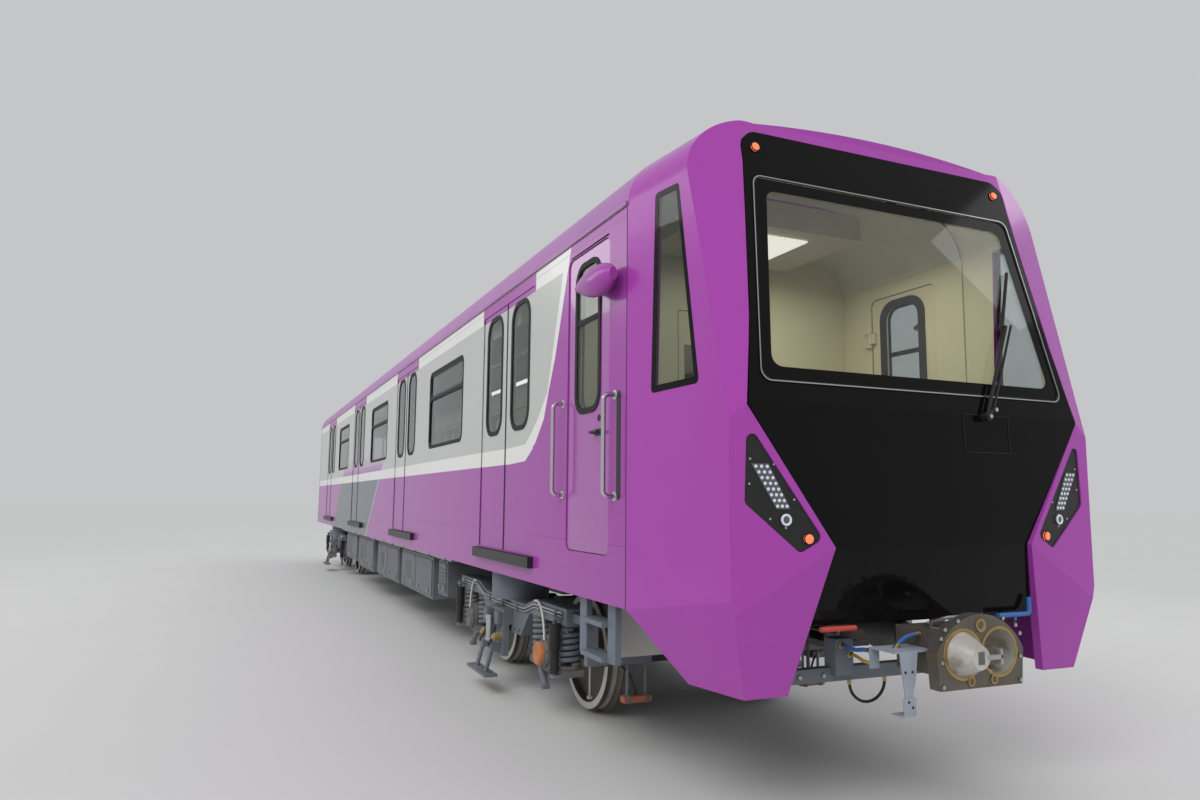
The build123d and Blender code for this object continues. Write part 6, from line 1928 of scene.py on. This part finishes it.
@dataclass
class CabInterior:
    """Partition, desk, seat and lights inside the cab."""

    seat_x: float = SEAM - 0.250

    def dress(self) -> None:
        """Puts finishes on the CAD nodes."""
        dress(cab_partition=LINING, partition_door=LINING, cab_desk=DESK, cab_seat_base=DARK_STEEL)

    def desk_instruments(self) -> None:
        """Screens, buttons and lever on the desk's sloping top."""
        screens, keys, levers = Shape(), Shape(), Shape()
        slope = Vector((-0.53, 0.0, 1.0)).normalized()
        for y in (-0.42, 0.0, 0.42):
            origin = Vector((ahead(0.445), y, 2.0535))
            screens.plate(rounded(0.30, 0.15, 0.012, 4), 0.012, facing_place(origin, slope, (1, 0, 0)), 0.002)
        for k in range(14):
            y = -0.62 + k * 0.095
            origin = Vector((ahead(0.345), y, 2.0))
            keys.block((-0.013, -0.009, 0.0), (0.013, 0.009, 0.008), 0.002,
                       facing_place(origin, slope, (1, 0, 0)))
        levers.bar((ahead(0.300), 0.300, 1.975), (ahead(0.280), 0.300, 2.085), 0.010, 12)
        levers.lathe((ahead(0.281), 0.300, 2.075), (-0.17, 0.0, 0.98),
                     [(0.0, 0.0), (0.004, 0.018), (0.020, 0.024), (0.036, 0.018), (0.042, 0.0)], 20)
        screens.done("desk_screens", Body.CAR, SCREEN_DARK, "black_panel")
        keys.done("desk_keys", Body.CAR, BRIGHT_STEEL, "silver_trim")
        levers.done("desk_lever", Body.CAR, BLACK_SATIN, "wiper_black")

    def seat(self) -> None:
        """Seat pad and back."""
        x = self.seat_x
        Cushion("driver_seat_pad", (x - 0.23, -0.24, 1.5803), (x + 0.24, 0.24, 1.680), (-0.150, 0.150),
                SEAT_BLACK, crown=0.012, voxel=0.008).build(["cab_seat_cushions"])
        Cushion("driver_seat_back", (x - 0.235, -0.23, 1.682), (x - 0.135, 0.23, 2.340), (), SEAT_BLACK,
                tilt=-0.095, voxel=0.008).build()

    def lining(self) -> None:
        """Door handle and ceiling light of the cab."""
        fittings, light = Shape(), Shape()
        fittings.bar((ahead(-1.270), -0.240, 2.200), (ahead(-1.225), -0.240, 2.200), 0.010, 12)
        fittings.bar((ahead(-1.228), -0.240, 2.200), (ahead(-1.228), -0.130, 2.200), 0.009, 12, bevel=0.003)
        fittings.done("partition_door_handle", Body.INNER_DOOR, BRIGHT_STEEL, "pole_steel")
        light.block((ahead(-1.10), -0.30, 3.462), (ahead(-0.45), 0.30, 3.472), 0.004)
        light.done("cab_ceiling_light", Body.CAR, CAB_LAMP, "lamp_white")

    def build(self) -> None:
        """Makes all of it."""
        self.dress()
        self.desk_instruments()
        self.seat()
        self.lining()


@dataclass
class Saloon:
    """Benches, cushions, poles and ceiling lights of the saloon."""

    benches: tuple = ((WINDOWS_X[0], 2.76), (WINDOWS_X[1], 2.76), (WINDOWS_X[2], 2.76),
                      (BODY_REAR + 0.83, 1.56))
    seat_pitch: float = 0.46
    end_gap: float = 0.012
    bench_y: float = 1.057
    bench_z: float = 1.5905

    def cushions(self) -> None:
        """One long pad on each bench, sewn into places; one place is stuffed and repeated."""
        width, depth = self.seat_pitch, 0.320
        form = Cushion("bench_place", (-width / 2, -depth / 2, 0.0), (width / 2, depth / 2, 0.0435), (),
                       SEAT_CLOTH, crown=0.006, smaller=0.004, cuts=11).form()
        stuffed = bpy.data.meshes.new("bench_place")
        form.bm.to_mesh(stuffed)
        form.bm.free()
        for number, (x, length) in enumerate(self.benches, 1):
            places = round((length - 2 * self.end_gap) / self.seat_pitch)
            pitch = (length - 2 * self.end_gap) / places
            for side in SIDES:
                pad = Shape()
                for k in range(places):
                    old = set(pad.bm.verts)
                    pad.bm.from_mesh(stuffed)
                    centre = (x - length / 2 + self.end_gap + pitch * (k + 0.5), side * self.bench_y,
                              self.bench_z)
                    grown = Matrix.Translation(centre) @ Matrix.Diagonal((pitch / width, 1.0, 1.0, 1.0))
                    bmesh.ops.transform(pad.bm, matrix=grown, verts=[v for v in pad.bm.verts if v not in old])
                name = "left" if side > 0 else "right"
                piece = pad.done(f"{name}_bench_pad_{number}", Body.CAR, SEAT_CLOTH, "seat_fabric",
                                 ["bench_cushions"] if (number == 1 and side > 0) else [], angle=80.0)
        bpy.data.meshes.remove(stuffed)

    def lights(self) -> None:
        """Two light strips along the ceiling, with their housings."""
        strips, housings = Shape(), Shape()
        for side in SIDES:
            for k in range(8):
                low = BODY_REAR + 0.15 + k * 2.06
                strips.block((low, side * 0.93, 3.555), (low + 1.98, side * 1.05, 3.567), 0.003)
            housings.block((BODY_REAR + 0.08, side * 0.905, 3.566), (ahead(-1.32), side * 1.075, 3.584),
                           0.004)
        strips.done("saloon_lights", Body.CAR, CEILING_LIGHT, "lamp_white")
        housings.done("light_housings", Body.CAR, LINING, "lining")

    def build(self) -> None:
        """Makes all of it."""
        dress(saloon_benches=BENCH, grab_poles=POLISHED)
        self.cushions()
        self.lights()


# ---- stage, lights and camera ----


@dataclass
class Studio:
    """Pale floor, soft lights and the camera at the photograph's place."""

    camera_place: Point = (12.991, -3.4181, 1.6085)
    up: Point = (0.104, -0.055, 0.993)
    forward: Point = (-0.910, 0.397, 0.118)
    focal_pixels: float = 840.5
    image_width: int = 1200
    floor_half: float = 160.0
    strip_place: Point = (2.0, 8.5, 8.0)
    strip_size: Point = (26.0, 2.2)
    strip_aim_z: float = 1.8

    def camera(self) -> None:
        """Makes the camera and chooses it."""
        data = bpy.data.cameras.new("photo_camera")
        data.sensor_width = 36.0
        data.lens = 36.0 * self.focal_pixels / self.image_width
        data.clip_start, data.clip_end = 0.05, 500.0
        camera = placed("photo_camera", data)
        forward = Vector(self.forward).normalized()
        right = forward.cross(Vector(self.up)).normalized()
        up = right.cross(forward)
        camera.matrix_world = (Matrix.Translation(Vector(self.camera_place))
                               @ Matrix((right, up, -forward)).transposed().to_4x4())
        bpy.context.scene.camera = camera

    def floor(self) -> None:
        """Makes the floor, pale to the camera and in reflections."""
        mesh = bpy.data.meshes.new("studio_floor")
        corners = [(u * self.floor_half, v * self.floor_half, 0)
                   for u, v in ((-1, -1), (1, -1), (1, 1), (-1, 1))]
        mesh.from_pydata(corners, [], [(0, 1, 2, 3)])
        floor = placed("studio_floor", mesh)
        material = bpy.data.materials.new("floor_pale")
        graph = emptied(material)
        tone = Mottle.use(graph, color=(0.62, 0.62, 0.61), amount=0.03, scale=0.6, grain=30.0)
        shader = graph.add("ShaderNodeBsdfPrincipled",
                           {"Base Color": tone.outputs["Color"], "Roughness": 0.7})
        graph.add("ShaderNodeOutputMaterial", {"Surface": shader.outputs[0]})
        mesh.materials.append(material)

    def lamp(self, name: str, kind: str, power: float, aim: Optional[Point], **settings) -> bpy.types.Object:
        """Makes a light.

        Args:
            name: The light's name.
            kind: Blender's type of light.
            power: Its energy.
            aim: Way that it shines, or None to leave it looking down.
            settings: Other properties of the light.

        Returns:
            The light's object.
        """
        data = bpy.data.lights.new(name, kind)
        data.energy = power
        for key, value in settings.items():
            setattr(data, key, value)
        lamp = placed(name, data)
        if aim:
            lamp.rotation_mode = "QUATERNION"
            lamp.rotation_quaternion = Vector(aim).to_track_quat("-Z", "Y")
        return lamp

    def lights(self) -> None:
        """Even sky, two broad suns and long strips overhead that the gloss can mirror."""
        world = bpy.data.worlds.new("studio_sky")
        bpy.context.scene.world = world
        graph = emptied(world)
        sky = graph.add("ShaderNodeBackground", {"Color": (0.93, 0.94, 0.96), "Strength": 0.60})
        graph.add("ShaderNodeOutputWorld", {"Surface": sky.outputs[0]})
        for name, aim, power, angle in (("key_sun", (-0.55, 0.62, -0.75), 1.25, 40.0),
                                        ("fill_sun", (-0.45, -0.80, -0.55), 0.45, 60.0)):
            self.lamp(name, "SUN", power, aim, angle=math.radians(angle)).visible_glossy = False
        x, y, z = self.strip_place
        for name, side, power in (("right_strip", -1, 300.0), ("left_strip", 1, 240.0)):
            strip = self.lamp(name, "AREA", power, (0.0, -side * y, self.strip_aim_z - z), shape="RECTANGLE",
                              size=self.strip_size[0], size_y=self.strip_size[1])
            strip.location = (x, side * y, z)

    def cab_light(self) -> None:
        """Soft light inside the cab, so that its lining shows through the glass."""
        lamp = self.lamp("cab_fill", "AREA", 15.0, None, shape="RECTANGLE", size=1.0, size_y=1.8,
                         color=(1.0, 0.97, 0.90))
        lamp.location = (ahead(-0.30), 0.0, 3.38)
        lamp.visible_camera = lamp.visible_glossy = lamp.visible_transmission = False

    def build(self) -> None:
        """Makes all of it."""
        self.cab_light()
        self.camera()
        self.floor()
        self.lights()
        bpy.context.scene.view_settings.view_transform = "Standard"


def main() -> None:
    """Builds every sub-assembly."""
    logging.basicConfig(level=logging.INFO, format="%(message)s")
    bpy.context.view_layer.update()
    Studio().build()
    for hose in HOSES:
        hose.build()
    parts = (
        Carbody(), CabMask(), CabDoors(),
        Bogie("front", PIVOT_MID + 6.3, Body.FRONT_BOGIE, ((1, PIVOT_MID + 7.35), (2, PIVOT_MID + 5.25))),
        Bogie("rear", PIVOT_MID - 6.3, Body.REAR_BOGIE, ((3, PIVOT_MID - 5.25), (4, PIVOT_MID - 7.35))),
        Receiver(PIVOT_MID + 6.3),
        Underfloor(), Coupler("front", Body.FRONT_COUPLER, 1), Coupler("rear", Body.REAR_COUPLER, -1),
        FrontEnd(), CabInterior(), Saloon(),
    )
    for part in parts:
        log.info("building %s", type(part).__name__)
        part.build()


if __name__ == "__main__":
    main()
